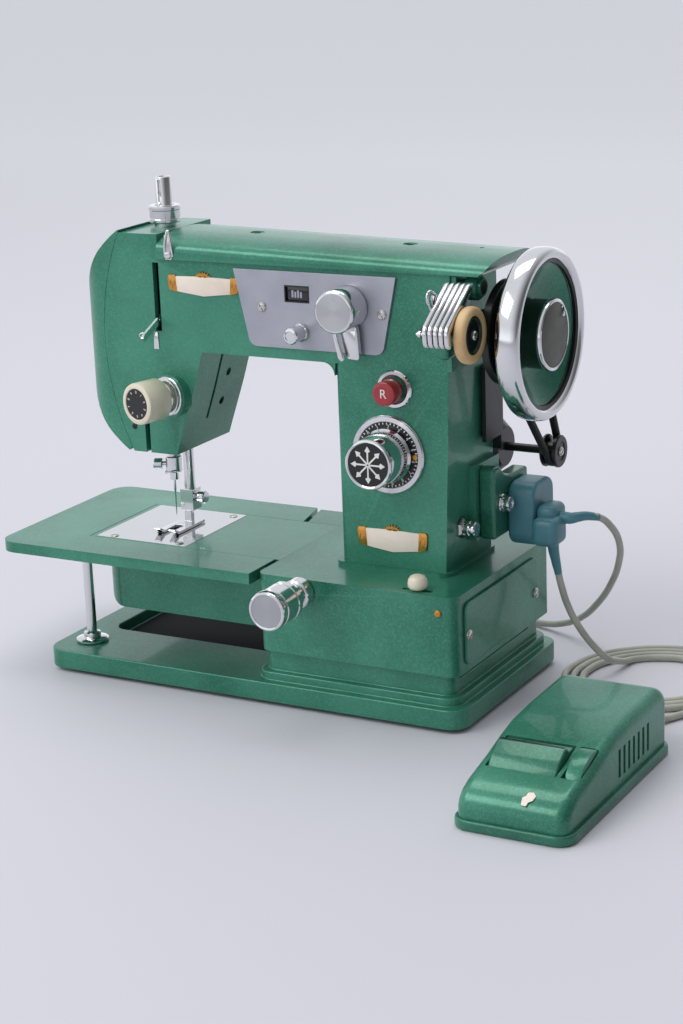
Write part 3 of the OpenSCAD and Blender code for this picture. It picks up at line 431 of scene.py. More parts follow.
def spunMetal(name, colour, centre, axis, rough=0.28, pitch=0.5):
    # a lathe-faced knob end: rings from the facing tool, half a millimetre apart so that they show
    made, tree, shader, place = newMaterial(name)
    shift = addNode(tree, "ShaderNodeMapping", {"Location": [-c for c in centre]}, {"Vector": place})
    apart = addNode(tree, "ShaderNodeSeparateXYZ", links={"Vector": shift.outputs["Vector"]})
    across = [n for i, n in enumerate("XYZ") if i != axis]
    flat = addNode(tree, "ShaderNodeCombineXYZ", links={
        "X": apart.outputs[across[0]], "Y": apart.outputs[across[1]]})
    length = addNode(tree, "ShaderNodeVectorMath", {"operation": "LENGTH"}, {0: flat.outputs["Vector"]})
    rings = addNode(tree, "ShaderNodeMath", {"operation": "MULTIPLY", 1: 2 * math.pi / (pitch * mm)},
                    {0: length.outputs["Value"]})
    wave = addNode(tree, "ShaderNodeMath", {"operation": "SINE"}, {0: rings.outputs["Value"]})
    bump = addNode(tree, "ShaderNodeBump", {"Strength": 0.25, "Distance": 0.0001},
                   {"Height": wave.outputs["Value"]})
    tree.links.new(bump.outputs["Normal"], shader.inputs["Normal"])
    tint = addNode(tree, "ShaderNodeTexNoise", {"Scale": 120.0, "Detail": 3.0}, {"Vector": place})
    spread = addNode(tree, "ShaderNodeMapRange", {"To Min": rough - 0.08, "To Max": rough + 0.1},
                     {"Value": tint.outputs["Fac"]})
    tree.links.new(spread.outputs["Result"], shader.inputs["Roughness"])
    shader.inputs["Base Color"].default_value = hexColour(colour)
    shader.inputs["Metallic"].default_value = 1.0
    return made


def mouldedPlastic(name, colour, deep, rough=0.3, grain=700.0, coat=0.0):
    # moulded plastic: even colour with slight flow mottling and a fine tool grain
    made, tree, shader, place = newMaterial(name)
    flow = addNode(tree, "ShaderNodeTexNoise", {"Scale": 45.0, "Detail": 4.0}, {"Vector": place})
    tone = addNode(tree, "ShaderNodeValToRGB", links={"Fac": flow.outputs["Fac"]})
    rampStops(tone, [(0.3, hexColour(deep)), (0.65, hexColour(colour))])
    tree.links.new(tone.outputs["Color"], shader.inputs["Base Color"])
    spread = addNode(tree, "ShaderNodeMapRange", {"To Min": rough - 0.06, "To Max": rough + 0.08},
                     {"Value": flow.outputs["Fac"]})
    tree.links.new(spread.outputs["Result"], shader.inputs["Roughness"])
    bump = noiseBump(tree, place, grain, 0.0002, strength=0.12)
    tree.links.new(bump.outputs["Normal"], shader.inputs["Normal"])
    shader.inputs["IOR"].default_value = 1.49
    shader.inputs["Coat Weight"].default_value = coat
    return made


greenEnamel = metallicEnamel("greenMetallicEnamel", "#1E6B52", "#4E9A80", "#12493A")
# a darker copy of the same green enamel: painted shade on the parts that are given it
greenEnamelPaintedShade = metallicEnamel("greenMetallicEnamelPaintedShade", "#1A5E48", "#458C73", "#103F32")
chromePlate = polishedMetal("chromePlate", "#DCDDDE", 0.05, 0.16)
nickelPlate = polishedMetal("nickelPlateSatin", "#C9C8C2", 0.16, 0.30)
darkNickel = polishedMetal("darkenedNickelKnurl", "#63645F", 0.28, 0.42, 0.3)
machinedSteel = polishedMetal("machinedSteel", "#A9ABAD", 0.24, 0.40, 0.25)
panelPaint = mouldedPlastic("silverGreyStovedPaint", "#AEB0B9", "#A2A4AE", 0.34, 500.0)
panelPaint.node_tree.nodes["Principled BSDF"].inputs["Metallic"].default_value = 0.45
darkGlass = mouldedPlastic("smokedWindowAcrylic", "#1B1C1E", "#101112", 0.10, 300.0, 0.5)
badgeEnamel = mouldedPlastic("creamVitreousEnamel", "#F3E6D6", "#E9D9C5", 0.2, 400.0, 0.5)
badgeGold = polishedMetal("goldLacqueredBrass", "#C8924A", 0.2, 0.34)
blackPaint = mouldedPlastic("blackStovedPaint", "#1A1B1C", "#121314", 0.32, 500.0)
creamPlastic = mouldedPlastic("creamUreaPlastic", "#E6DFC9", "#DAD0B6", 0.3, 500.0, 0.2)
redPlastic = mouldedPlastic("redUreaPlastic", "#A82A31", "#8E2229", 0.26, 500.0, 0.3)
whiteInk = mouldedPlastic("whiteFillPaint", "#E9E8E2", "#DDDCD5", 0.45)
tealPlastic = mouldedPlastic("tealBakelite", "#4E8590", "#44757F", 0.34, 420.0)
blackRubber = mouldedPlastic("blackMouldedRubber", "#191919", "#0F0F0F", 0.6, 900.0)
tyreRubber = mouldedPlastic("agedNaturalRubber", "#DFC190", "#CDA876", 0.52, 800.0)
cordPlastic = mouldedPlastic("greyTwinFlexJacket", "#B4B5A8", "#A3A498", 0.38, 900.0)
bearingBronze = polishedMetal("oiledBearingBronze", "#A98548", 0.28, 0.42, 0.2)
# black for the sheet in the base recess: painted shade where the recess lies under the arm
recessPaintedShade = mouldedPlastic("blackRecessPaintedShade", "#15191A", "#0C0F10", 0.85, 1200.0)
brushedBronze = spunMetal("darkBrushedNickel", "#55564F", (0, 0, pivots["handwheel_spin"].z), 0, 0.36,
    0.45)
spunChromeDial = spunMetal("dialRingTurnedChrome", "#D2D3D6",
    (pivots["dial_turn"].x, 0, pivots["dial_turn"].z), 1, 0.16, 0.7)
spunKnobWidth = spunMetal("facedAluminiumKnob", "#B9BABC",
    (pivots["width_swing"].x, 0, pivots["width_swing"].z), 1, 0.30)
spunKnobFeed = spunMetal("facedAluminiumFeedKnob", "#AEB0B3",
    (pivots["length_turn"].x, 0, pivots["length_turn"].z), 1, 0.30)
print("stage: materials ready")


view = {"place": (0.7881, -1.3393, 0.5631), "yaw": 29.25, "pitch": 16.08, "roll": -2.23, "lens": 118.2}
lens = bpy.data.cameras.new("camera")
lens.sensor_fit = "HORIZONTAL"
lens.sensor_width = 36.0
lens.lens = view["lens"]
lens.clip_end = 50.0
camera = bpy.data.objects.new("camera", lens)
bpy.context.scene.collection.objects.link(camera)
yaw, pitch, roll = (math.radians(view[k]) for k in ("yaw", "pitch", "roll"))
forward = Vector((-math.sin(yaw) * math.cos(pitch), math.cos(yaw) * math.cos(pitch), -math.sin(pitch)))
level = Vector((math.cos(yaw), math.sin(yaw), 0))
upward = level.cross(forward)
right = math.cos(roll) * level + math.sin(roll) * upward
top = -math.sin(roll) * level + math.cos(roll) * upward
turn = camera.matrix_world.to_3x3()
for row in range(3):
    turn[row][0], turn[row][1], turn[row][2] = right[row], top[row], -forward[row]
camera.matrix_world = turn.to_4x4()
camera.location = view["place"]
bpy.context.scene.camera = camera

# the floor runs from grey near the machine to near white at the back: painted light
floorMaterial, floorTree, floorShader, floorPlace = newMaterial("paleTableTop")
floorParts = addNode(floorTree, "ShaderNodeSeparateXYZ", links={"Vector": floorPlace})
floorFar = addNode(floorTree, "ShaderNodeMapRange", {"From Min": 0.1, "From Max": 2.6},
    {"Value": floorParts.outputs["Y"]})
floorPaintedLightRamp = addNode(floorTree, "ShaderNodeValToRGB", links={"Fac": floorFar.outputs["Result"]})
rampStops(floorPaintedLightRamp, [(0.0, hexColour("#D2D1D8")), (1.0, hexColour("#F4F4F8"))])
floorTree.links.new(floorPaintedLightRamp.outputs["Color"], floorShader.inputs["Base Color"])
floorShader.inputs["Roughness"].default_value = 0.6
clearSelection()
bpy.ops.mesh.primitive_plane_add(size=80)
floor = bpy.context.object
floor.name = "floor"
floor.data.materials.append(floorMaterial)

world = bpy.data.worlds.new("studio")
bpy.context.scene.world = world
world.use_nodes = True
worldTree = world.node_tree
worldPlace = addNode(worldTree, "ShaderNodeTexCoord")
worldUp = addNode(worldTree, "ShaderNodeSeparateXYZ", links={"Vector": worldPlace.outputs["Generated"]})
worldRamp = addNode(worldTree, "ShaderNodeValToRGB", links={"Fac": worldUp.outputs["Z"]})
rampStops(worldRamp, [(0.0, (0.86, 0.87, 0.92, 1)), (0.08, (0.80, 0.81, 0.86, 1)),
                      (0.28, (0.56, 0.57, 0.61, 1)), (1.0, (0.56, 0.57, 0.60, 1))])
# the far right of the room is left dark, which is what gives the right-hand faces their depth
worldSide = addNode(worldTree, "ShaderNodeMapRange",
    {"From Min": -0.1, "From Max": 0.85, "To Min": 1.0, "To Max": 0.16},
                    {"Value": worldUp.outputs["X"]})
worldShade = addNode(worldTree, "ShaderNodeVectorMath", {"operation": "SCALE"},
                     {0: worldRamp.outputs["Color"], "Scale": worldSide.outputs["Result"]})
worldTree.links.new(worldShade.outputs["Vector"], worldTree.nodes["Background"].inputs["Color"])
worldTree.nodes["Background"].inputs["Strength"].default_value = 1.5


def softLamp(name, place, target, size, power):
    data = bpy.data.lights.new(name, "AREA")
    data.shape = "RECTANGLE"
    data.size, data.size_y = size
    data.energy = power
    lamp = bpy.data.objects.new(name, data)
    bpy.context.scene.collection.objects.link(lamp)
    lamp.location = place
    lamp.rotation_euler = (Vector(target) - Vector(place)).to_track_quat("-Z", "Y").to_euler()


softLamp("keyLamp", (-1.1, -1.5, 1.9), (0, 0, 0.15), (1.6, 1.0), 20)
softLamp("topLamp", (-0.2, 0.5, 2.2), (0, 0, 0.2), (1.6, 0.8), 12)
bpy.context.scene.view_settings.view_transform = "Standard"
print("stage: camera and light ready")


def leadCurve(name, points, diameter, material, sides=4):
    line = bpy.data.curves.new(name, "CURVE")
    line.dimensions = "3D"
    line.bevel_depth = diameter * mm / 2
    line.bevel_resolution = sides
    line.resolution_u = 5
    line.use_fill_caps = True
    spline = line.splines.new("BEZIER")
    spline.bezier_points.add(len(points) - 1)
    for point, place in zip(spline.bezier_points, points):
        point.co = Vector(place) * mm
        point.handle_left_type = point.handle_right_type = "AUTO"
    lead = bpy.data.objects.new(name, line)
    bpy.context.scene.collection.objects.link(lead)
    line.materials.append(material)
    return lead


pedalLead = {
    "diameter": 5.0, "centre": (250, 66), "turns": 3.35, "innerRadius": 44.0, "pitch": 6.6,
    "fromPlug": [(186, 36, 105.95), (186, 36, 101), (187, 38, 90), (189, 42, 72), (193, 46, 54),
                 (200, 51, 37), (208, 57, 23), (215, 66, 12), (218, 78, 7), (219.4, 88, 3.9)],
    "toPedal": [(300, 26, 2.8), (292, 8, 2.7), (283, -8, 3.6), (275, -22, 7.2), (269, -34, 11.8),
                (266, -43, 15.2), (266, -49, 16)],
}
mainsLead = {
    "diameter": 5.0, "centre": (40, 175),
    "fromPlug": [(196.55, 34, 124), (200, 34.2, 124), (204, 36.5, 124.6), (208, 41, 124.6),
                 (214, 50, 122), (218, 62, 113), (219, 76, 97), (213, 90, 77), (202, 102, 56),
                 (187, 113, 36), (169, 124, 19), (149, 134, 8.5), (129, 142, 3.6), (109, 148, 2.7),
                 (94, 153, 2.6)],
    "toPlug": [(5.0, 166.3, 7.9), (2, 170.8, 8.4), (-3, 174, 9.4), (-7, 175, 10.6), (-11, 175, 11),
               (-13.95, 175, 11)],
}


def windRoute(centre, startAngle, endAngle, radiusAt, heightAt, each=24):
    count = max(2, int(abs(endAngle - startAngle) / each))
    found = []
    for i in range(count + 1):
        share = i / count
        a = math.radians(startAngle + (endAngle - startAngle) * share)
        r = radiusAt(share)
        found.append((centre[0] + r * math.cos(a), centre[1] + r * math.sin(a), heightAt(share)))
    return found


def polyLength(points):
    return sum((Vector(b) - Vector(a)).length for a, b in zip(points, points[1:])) * mm


# the pedal lead drops into the middle of its loose loops and spirals outwards on the floor
turnStart, turnEnd = 132.0, 132.0 - 360 * pedalLead["turns"]
loose = windRoute(pedalLead["centre"], turnStart, turnEnd,
                  lambda s: pedalLead["innerRadius"] + pedalLead["pitch"] * pedalLead["turns"] * s
                  + 2.5 * math.sin(2 * math.radians(turnStart + (turnEnd - turnStart) * s)),
                  lambda s: 2.6)
pedalRoute = pedalLead["fromPlug"] + loose + pedalLead["toPedal"]
print("pedal lead", round(polyLength(pedalRoute), 3), loose[0], loose[-1])

# the mains lead lies behind the machine in eight turns, four below and four above
inward = windRoute(mainsLead["centre"], -30, -30 - 360 * 4, lambda s: 35.4 - 19.0 * s * 0.79,
    lambda s: 2.6)
outward = windRoute(mainsLead["centre"], -30 - 360 * 4, -30 - 360 * 8 - 125,
                    lambda s: 20.4 + 15.0 * min(1, s * 1.1), lambda s: min(7.7, 2.6 + 60 * s))
mainsRoute = mainsLead["fromPlug"] + inward + outward[1:]
print("mains lead", round(polyLength(mainsRoute), 3))
pedalCord = leadCurve("pedal_lead", pedalRoute, pedalLead["diameter"], cordPlastic)
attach(pedalCord, "machine")
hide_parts("pedal_cord", "pedal_coil")
mainsCord = leadCurve("mains_lead", mainsRoute + mainsLead["toPlug"], mainsLead["diameter"],
    cordPlastic)
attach(mainsCord, "machine")
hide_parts("mains_cord", "mains_coil")
print("stage: leads ready")


# castings and covers: the CAD shapes with rounded edges
castings = {  # node: (piece name, edge radius mm, material, body)
    "plinth_base": ("base_casting", 2.0, greenEnamel, "machine"),
    "bed_block": ("bed_casting", 1.6, greenEnamel, "machine"),
    "bed_side_cover": ("bed_side_plate", 0.7, greenEnamel, "machine"),
    "free_arm": ("free_arm_casting", 2.0, greenEnamel, "machine"),
    "arm_casting": ("head_and_pillar_casting", 1.6, greenEnamel, "machine"),
    "top_cover": ("top_cover_casting", 1.4, greenEnamel, "machine"),
    "terminal_box": ("terminal_box_cover", 2.2, greenEnamelPaintedShade, "machine"),
    "socket_block": ("socket_moulding", 2.6, tealPlastic, "machine"),
    "winder_bracket": ("winder_bracket_casting", 0.8, greenEnamel, "machine"),
    "motor_housing": ("motor_shell", 1.5, blackPaint, "machine"),
    "face_cover": ("face_cover_casting", 1.0, greenEnamel, "nose_cover"),
    "extension_table": ("extension_table_plate", 2.2, greenEnamel, "table"),
    "pedal_base": ("pedal_base_plate", 1.6, greenEnamelPaintedShade, "machine"),
    "presser_foot": ("presser_foot_steel", 0.3, chromePlate, "presser"),
    "needle_gate": ("needle_gate_frame", 0.4, machinedSteel, "gate"),
    "take_up_lever": ("take_up_lever_steel", 0.3, chromePlate, "take_up"),
    "presser_lifter": ("presser_lifter_handle", 0.6, chromePlate, "lifter"),
    "mains_plug": ("mains_plug_moulding", 3.0, tealPlastic, "machine"),
}
for node, (pieceName, edge, material, body) in castings.items():
    piece = softCopy(node, pieceName, edge)
    finishPiece(piece, material, body, [node], smooth=38, even=True)
print("stage: castings rounded")

plainNodes = {
    "rubber_feet": blackRubber, "needle_plate": chromePlate, "shaft_bushes": bearingBronze,
    "main_shaft": machinedSteel, "hook_shaft": machinedSteel, "needle_bar": chromePlate,
    "presser_bar": chromePlate, "feed_dog": machinedSteel,
}
for node, material in plainNodes.items():
    nodes[node].data.materials.clear()
    nodes[node].data.materials.append(material)


screwPlaces = {  # where the visible screw heads sit, in millimetres
    "panel": [(3, 274), (96, 274)], "bedSide": [(-63, 66), (46, 62)],
    "plate": [(-132, cornersOf("needle_plate")[0][1] + 4.5),
              (-76, cornersOf("needle_plate")[0][1] + 5.5),
              (-76, cornersOf("needle_plate")[1][1] - 6.5)], "front": (152, -78.1, 83.4),
}


# the handwheel: a black belt flange, a green dish and a fat chromed ring
frontAxis = (0, -1, 0)
wheelLow = cornersOf("handwheel")[0]
rimLow, rimHigh = cornersOf("handwheel_rim")
axisZ = pivots["handwheel_spin"].z / mm
wheelCentre = at(0, 0, axisZ)
wheel = {"hub": 6.1, "sleeve": 14.0, "flange": 35.5, "groove": 24.0, "tubeInner": 48.4,
         "outer": rimHigh[2] - axisZ, "left": wheelLow[0], "rimLeft": rimLow[0], "rimRight": rimHigh[0]}
# the belt flange starts behind the casting's end
flangeX = wheel["left"] + 17
pulleyFace = turnedPiece("belt_flange", wheelCentre, (1, 0, 0), [
    (wheel["hub"], wheel["left"]), (wheel["sleeve"] - 1, wheel["left"]),
    (wheel["sleeve"], wheel["left"] + 1), (wheel["sleeve"] + 2, flangeX),
    (wheel["flange"] - 0.6, flangeX), (wheel["flange"], flangeX + 0.7),
    (wheel["flange"], flangeX + 5.3), (wheel["flange"] - 0.6, flangeX + 6),
    (wheel["groove"], flangeX + 6), (wheel["groove"], flangeX + 12),
    (wheel["flange"] - 5, flangeX + 12), (wheel["flange"] - 4, flangeX + 12.8),
    (wheel["flange"] - 4, flangeX + 15.5), (wheel["hub"], flangeX + 15.5)], 96, closed=True)
finishPiece(pulleyFace, blackPaint, "wheel_train", smooth=30)
dish = turnedPiece("handwheel_dish", wheelCentre, (1, 0, 0), [
    (wheel["hub"], flangeX + 15.5), (wheel["flange"] - 4.5, flangeX + 15.5),
    (wheel["flange"] - 4, flangeX + 16), (42, wheel["rimLeft"] + 2),
    (wheel["tubeInner"] - 0.6, wheel["rimLeft"] + 5.4), (wheel["tubeInner"], wheel["rimLeft"] + 6.5),
    (wheel["tubeInner"], wheel["rimLeft"] + 10), (wheel["tubeInner"] - 1, wheel["rimLeft"] + 10.4),
    (40, wheel["rimLeft"] + 5.6), (32, wheel["rimLeft"] + 1.4), (27, wheel["rimLeft"] - 0.2),
    (wheel["hub"], wheel["rimLeft"] - 0.5)],
    128, closed=True)
finishPiece(dish, greenEnamel, "wheel_train", ["handwheel"], smooth=30)
tube = roundTube("handwheel_rim_tube", wheelCentre, (1, 0, 0), wheel["rimLeft"], wheel["rimRight"],
                 wheel["tubeInner"] + 0.2, wheel["outer"])
finishPiece(tube, chromePlate, "wheel_train", ["handwheel_rim"], smooth=60)
lip = turnedPiece("rim_inner_lip", wheelCentre, (1, 0, 0), [
    (wheel["tubeInner"] + 2.6, wheel["rimRight"] - 3.6),
    (wheel["tubeInner"] + 1.6, wheel["rimRight"] - 2.4),
    (wheel["tubeInner"] - 0.9, wheel["rimRight"] - 3.4),
    (wheel["tubeInner"] - 1.1, wheel["rimRight"] - 5.2),
    (wheel["tubeInner"] + 1.4, wheel["rimRight"] - 5.6)], 128, closed=True)
finishPiece(lip, blackPaint, "wheel_train", smooth=30)

# the clutch cap: dark knurled side, bright edge, spun face
cap = {"radius": 24.4, "near": wheel["rimLeft"] + 0.6, "far": cornersOf("clutch_knob")[1][0],
    "spigot": 3.0}
capBody = turnedPiece("clutch_cap", wheelCentre, (1, 0, 0), [
    (cap["spigot"], wheel["rimLeft"] - 14), (cap["spigot"], cap["near"]), (21.6, cap["near"]),
    (22.6, cap["near"] + 0.5), (23.2, cap["near"] + 2.4), (23.2, cap["far"] - 5.0),
    (23.8, cap["far"] - 3.6), (cap["radius"], cap["far"] - 2.2),
    (cap["radius"] - 0.5, cap["far"] - 0.6), (cap["radius"] - 1.6, cap["far"]),
    (cap["radius"] - 2.4, cap["far"] - 0.3), (cap["radius"] - 2.9, cap["far"] - 0.9),
    (0.3, cap["far"] - 0.9)], 120)
fluteSides(capBody, wheelCentre, (1, 0, 0), cap["near"] + 2.5, cap["far"] - 5.2, 23, 60, 0.5)
finishPiece(capBody, darkNickel, "clutch", ["clutch_knob"], smooth=30)
capEdge = turnedPiece("clutch_cap_edge", wheelCentre, (1, 0, 0), [
    (cap["radius"] - 2.8, cap["far"] - 1.0), (cap["radius"] + 0.1, cap["far"] - 3.2),
    (cap["radius"] + 0.1, cap["far"] - 2.0), (cap["radius"] - 0.5, cap["far"] - 0.5),
    (cap["radius"] - 1.6, cap["far"] + 0.05), (cap["radius"] - 2.6, cap["far"] - 0.3)],
    120, closed=True)
finishPiece(capEdge, chromePlate, "clutch", smooth=40)
capFace = turnedPiece("clutch_cap_face", wheelCentre, (1, 0, 0), [
    (cap["radius"] - 3.0, cap["far"] - 1.1), (cap["radius"] - 3.0, cap["far"] - 0.5),
    (cap["radius"] - 3.5, cap["far"] - 0.3), (0.3, cap["far"] - 0.2)], 96)
finishPiece(capFace, brushedBronze, "clutch", smooth=30)
stud = turnedPiece("clutch_stop_screw", at(cap["far"], 13.6, axisZ + 11.6), (1, 0, 0), [
    (1.7, -0.8), (1.7, 0.2), (1.2, 0.8), (0.2, 1.0)], 24)
finishPiece(stud, chromePlate, "clutch", smooth=30)
hook = wirePiece("clutch_stop_spring", [
    (cap["far"], 13.6, axisZ + 12.6), (cap["far"] + 0.2, 15.3, axisZ + 14.6),
    (cap["far"] + 0.1, 13.4, axisZ + 17.0), (cap["far"] + 0.1, 11.0, axisZ + 16.2)], 0.4)
finishPiece(hook, chromePlate, "clutch", smooth=40)
print("stage: handwheel ready")

# the motor's pulley and the belt
motorCentre = Vector((0, pivots["motor_spin"].y, pivots["motor_spin"].z))
pulleyLow, pulleyHigh = cornersOf("motor_pulley")
pulley = turnedPiece("motor_pulley_wheel", motorCentre, (1, 0, 0), [
    (3.0, pulleyLow[0]), (3.0, pulleyHigh[0] - 12.2), (10.8, pulleyHigh[0] - 12.2),
    (11.5, pulleyHigh[0] - 11.6), (11.5, pulleyHigh[0] - 10.2), (6.5, pulleyHigh[0] - 9.2),
    (6.5, pulleyHigh[0] - 3.6), (11.5, pulleyHigh[0] - 2.6), (11.5, pulleyHigh[0] - 0.8),
    (10.7, pulleyHigh[0]), (7.2, pulleyHigh[0]), (6.4, pulleyHigh[0] - 0.8),
    (0.2, pulleyHigh[0] - 0.8)], 72)
finishPiece(pulley, blackPaint, "motor_rotor", ["motor_pulley"], smooth=30)
hubScrew = screwPiece("pulley_screw", motorCentre + at(pulleyHigh[0] - 0.8, 0, 0), (1, 0, 0), 3.4, 2.0)
finishPiece(hubScrew, nickelPlate, "motor_rotor", smooth=30)
belt = softCopy("drive_belt", "drive_belt_loop", 1.3, 3, 50)
finishPiece(belt, blackRubber, "machine", ["drive_belt"], smooth=60)
print("stage: drive ready")


winderY, winderZ = (pivots["winder_spin"] / mm).yz
armPivotY, armPivotZ = (pivots["winder_swing"] / mm).yz
armLeft = cornersOf("winder_arm")[0][0] + 4
# five bent chrome ribs hide the winding arm and its bobbin
ribs = {"count": 5, "step": 3.9, "width": 3.3, "first": armLeft - 4.0}
ribOutline = [(-42, armPivotZ + 6.2), (-47, armPivotZ + 5.0), (-78.2, 277.6), (-80.2, 273.5),
              (-79.6, 266), (-77.6, 262.6), (-75.4, 262.6), (-74.4, 266), (-74.6, 272.5),
              (-44, armPivotZ + 0.2), (-41, armPivotZ + 3)]
rib = platePiece("winder_rib", [at(ribs["first"], y, z) for y, z in ribOutline],
                 (ribs["width"] * mm, 0, 0), 1.25, 4)
ribSet = [rib]
for i in range(1, ribs["count"]):
    mesh = rib.data.copy()
    mesh.transform(Matrix.Translation((ribs["step"] * i * mm, 0, 0)))
    other = bpy.data.objects.new(f"winder_rib_{i + 1}", mesh)
    bpy.context.scene.collection.objects.link(other)
    ribSet.append(other)
ribs["last"] = ribs["first"] + ribs["step"] * (ribs["count"] - 1) + ribs["width"]
cover = joinPieces(*ribSet)
cover.name = "winder_ribbed_cover"
finishPiece(cover, chromePlate, "winder", ["winder_arm"], smooth=50)
backOutline = [(-42, armPivotZ + 4.4), (-77.6, 274.4), (-77.8, 265.4), (-75.2, 264.4), (-74.0, 270.5),
               (-43, armPivotZ + 0.6)]
backing = platePiece("winder_cover_web", [at(ribs["first"] + 0.5, y, z) for y, z in backOutline],
                     ((ribs["last"] - ribs["first"] - 1) * mm, 0, 0), 0.3, 2)
finishPiece(backing, blackPaint, "winder", smooth=30)
armOutline = [(armPivotY + 7, armPivotZ - 5), (armPivotY + 7, armPivotZ + 4), (-30, armPivotZ + 5),
              (-46, armPivotZ - 3), (-66, winderZ + 8), (-66, winderZ - 7), (winderY, winderZ - 11),
              (winderY + 9, winderZ - 7)]
armPlate = platePiece("winder_arm_plate", [at(armLeft, y, z) for y, z in armOutline], (4 * mm, 0, 0),
    0.8, 3)
armBoss = turnedPiece("winder_arm_bearing", at(0, winderY, winderZ), (1, 0, 0), [
    (3.2, armLeft + 3), (7.5, armLeft + 3), (7.5, armLeft + 11), (6.8, armLeft + 12.5),
    (3.2, armLeft + 12.5)],
    48, closed=True)
armPlate = joinPieces(armPlate, armBoss)
finishPiece(armPlate, greenEnamelPaintedShade, "winder", smooth=35)
ear = wirePiece("winder_latch_loop", [
    (ribs["first"] - 1.2, -57.5, 281.5), (ribs["first"] - 2.6, -61.5, 286.5),
    (ribs["first"] - 3.2, -64.0, 292.5), (ribs["first"] - 2.8, -61.5, 296.4),
    (ribs["first"] - 1.6, -57.0, 294.6), (ribs["first"] - 0.8, -54.6, 289.0)],
    1.05, closed=True)
leaf = platePiece("winder_latch_leaf", [at(ribs["first"] - 1.6, y, z) for y, z in (
    (-56.5, 283), (-60.5, 287), (-62.6, 292), (-61, 294.6), (-57.5, 293), (-55.6, 288.5))],
    (0.8 * mm, 0, 0), 0.3, 2)
finishPiece(joinPieces(ear, leaf), chromePlate, "winder", smooth=60)
tip = turnedPiece("winder_pin_end", at(ribs["first"] + 1, -76.4, 271.4), (-1, 0, 0), [
    (1.2, 0), (1.2, 2.6), (2.3, 2.8), (2.5, 3.6), (2.3, 4.6), (1.2, 5.0), (1.1, 6.2), (0.2, 6.6)], 28)
finishPiece(tip, chromePlate, "winder", smooth=40)
bossPiece = turnedPiece("winder_pivot_boss", at(0, armPivotY, armPivotZ), (1, 0, 0), [
    (4.2, armLeft + 4.4), (8.6, armLeft + 4.4), (9.0, armLeft + 5.2), (9.0, armLeft + 10.6),
    (8.0, armLeft + 12.0), (4.2, armLeft + 12.0)], 64, closed=True)
finishPiece(bossPiece, greenEnamelPaintedShade, "machine", smooth=35)
bossCap = turnedPiece("winder_pivot_cap", at(0, armPivotY, armPivotZ), (1, 0, 0), [
    (4.1, armLeft + 10), (5.6, armLeft + 12.2), (5.6, armLeft + 13.6), (4.4, armLeft + 14.8),
    (0.3, armLeft + 15.0)], 48)
finishPiece(bossCap, blackPaint, "machine", smooth=35)
footPiece = blockPiece("winder_stop_lug", at(armLeft - 8.4, -49, 248.5),
    at(armLeft - 0.5, -35.8, 259.5), 2.8, 5)
finishPiece(footPiece, greenEnamel, "machine", smooth=50)

tyreMid = cornersOf("winder_spindle")[1][0] - 5
tyre = roundTube("winder_tyre", at(0, winderY, winderZ), (1, 0, 0), tyreMid - 4.6, tyreMid + 3.6, 12.2,
    18.9, 2.6)
finishPiece(tyre, tyreRubber, "winder_bobbin", ["winder_spindle"], smooth=60)
tyreHub = turnedPiece("winder_hub", at(0, winderY, winderZ), (1, 0, 0), [
    (3.0, armLeft - 16), (3.0, tyreMid - 4), (12.4, tyreMid - 4), (12.6, tyreMid + 2.4),
    (11.4, tyreMid + 2.8), (10.2, tyreMid + 1.2), (5.0, tyreMid + 0.6), (4.6, tyreMid + 2.6),
    (0.3, tyreMid + 2.6)], 72)
finishPiece(tyreHub, blackPaint, "winder_bobbin", smooth=30)
tyreScrew = screwPiece("winder_hub_screw", at(tyreMid + 2.4, winderY, winderZ), (1, 0, 0), 3.1, 1.8)
finishPiece(tyreScrew, chromePlate, "winder_bobbin", smooth=30)
print("stage: winder ready")


panelFaceY = cornersOf("control_panel")[0][1]
bodyFront = panelFaceY + 2
dialCentre = Vector((pivots["dial_turn"].x, bodyFront * mm, pivots["dial_turn"].z))
# the stitch dial: a chromed ring, a numbered band and a knob with eight arrows
dial = {"ring": 27.5, "band": 23.0, "knob": 17.5, "face": 15.0}
bezel = turnedPiece("dial_bezel", dialCentre, frontAxis, [
    (dial["band"], 0.1), (dial["ring"], 0.1), (dial["ring"], 2.0), (dial["ring"] - 0.8, 2.9),
    (dial["band"] + 0.6, 3.1), (dial["band"], 2.6)], 120, closed=True)
finishPiece(bezel, spunChromeDial, "machine", ["trim_rings"], smooth=30)
bandPiece = turnedPiece("dial_number_band", dialCentre, frontAxis, [
    (4.2, 0.1), (dial["band"] + 0.1, 0.1), (dial["band"] + 0.1, 2.2), (4.2, 2.2)], 96, closed=True)
finishPiece(bandPiece, blackPaint, "machine", smooth=30)
markFrame = faceFrame(dialCentre + Vector((0, -2.15 * mm, 0)), frontAxis)
tick = flatShape("dial_tick", [(-0.35, 21.3), (0.35, 21.3), (0.35, 22.6), (-0.35, 22.6)], markFrame,
    0.2, 0)
ticks = ringOf(tick, dialCentre, frontAxis, [i * 7.5 for i in range(1, 48)])
ticks.name = "dial_ticks"
finishPiece(ticks, whiteInk, "machine", smooth=0)
marks = [letterPiece(f"dial_number_{i}", str(i), 3.4,
    markFrame @ Matrix.Rotation(math.radians(45 - 24 * i), 4, "Z")
                     @ Matrix.Translation((0, 19.8 * mm, 0))) for i in range(10)]
numbers = joinPieces(*marks)
numbers.name = "dial_numbers"
finishPiece(numbers, whiteInk, "machine", smooth=0)
indexMark = flatShape("dial_index", [(17.8, -1.5), (22.4, -1.9), (22.4, 1.9), (17.8, 1.5)], markFrame,
    0.35, 0.1)
finishPiece(indexMark, badgeGold, "machine", smooth=30)
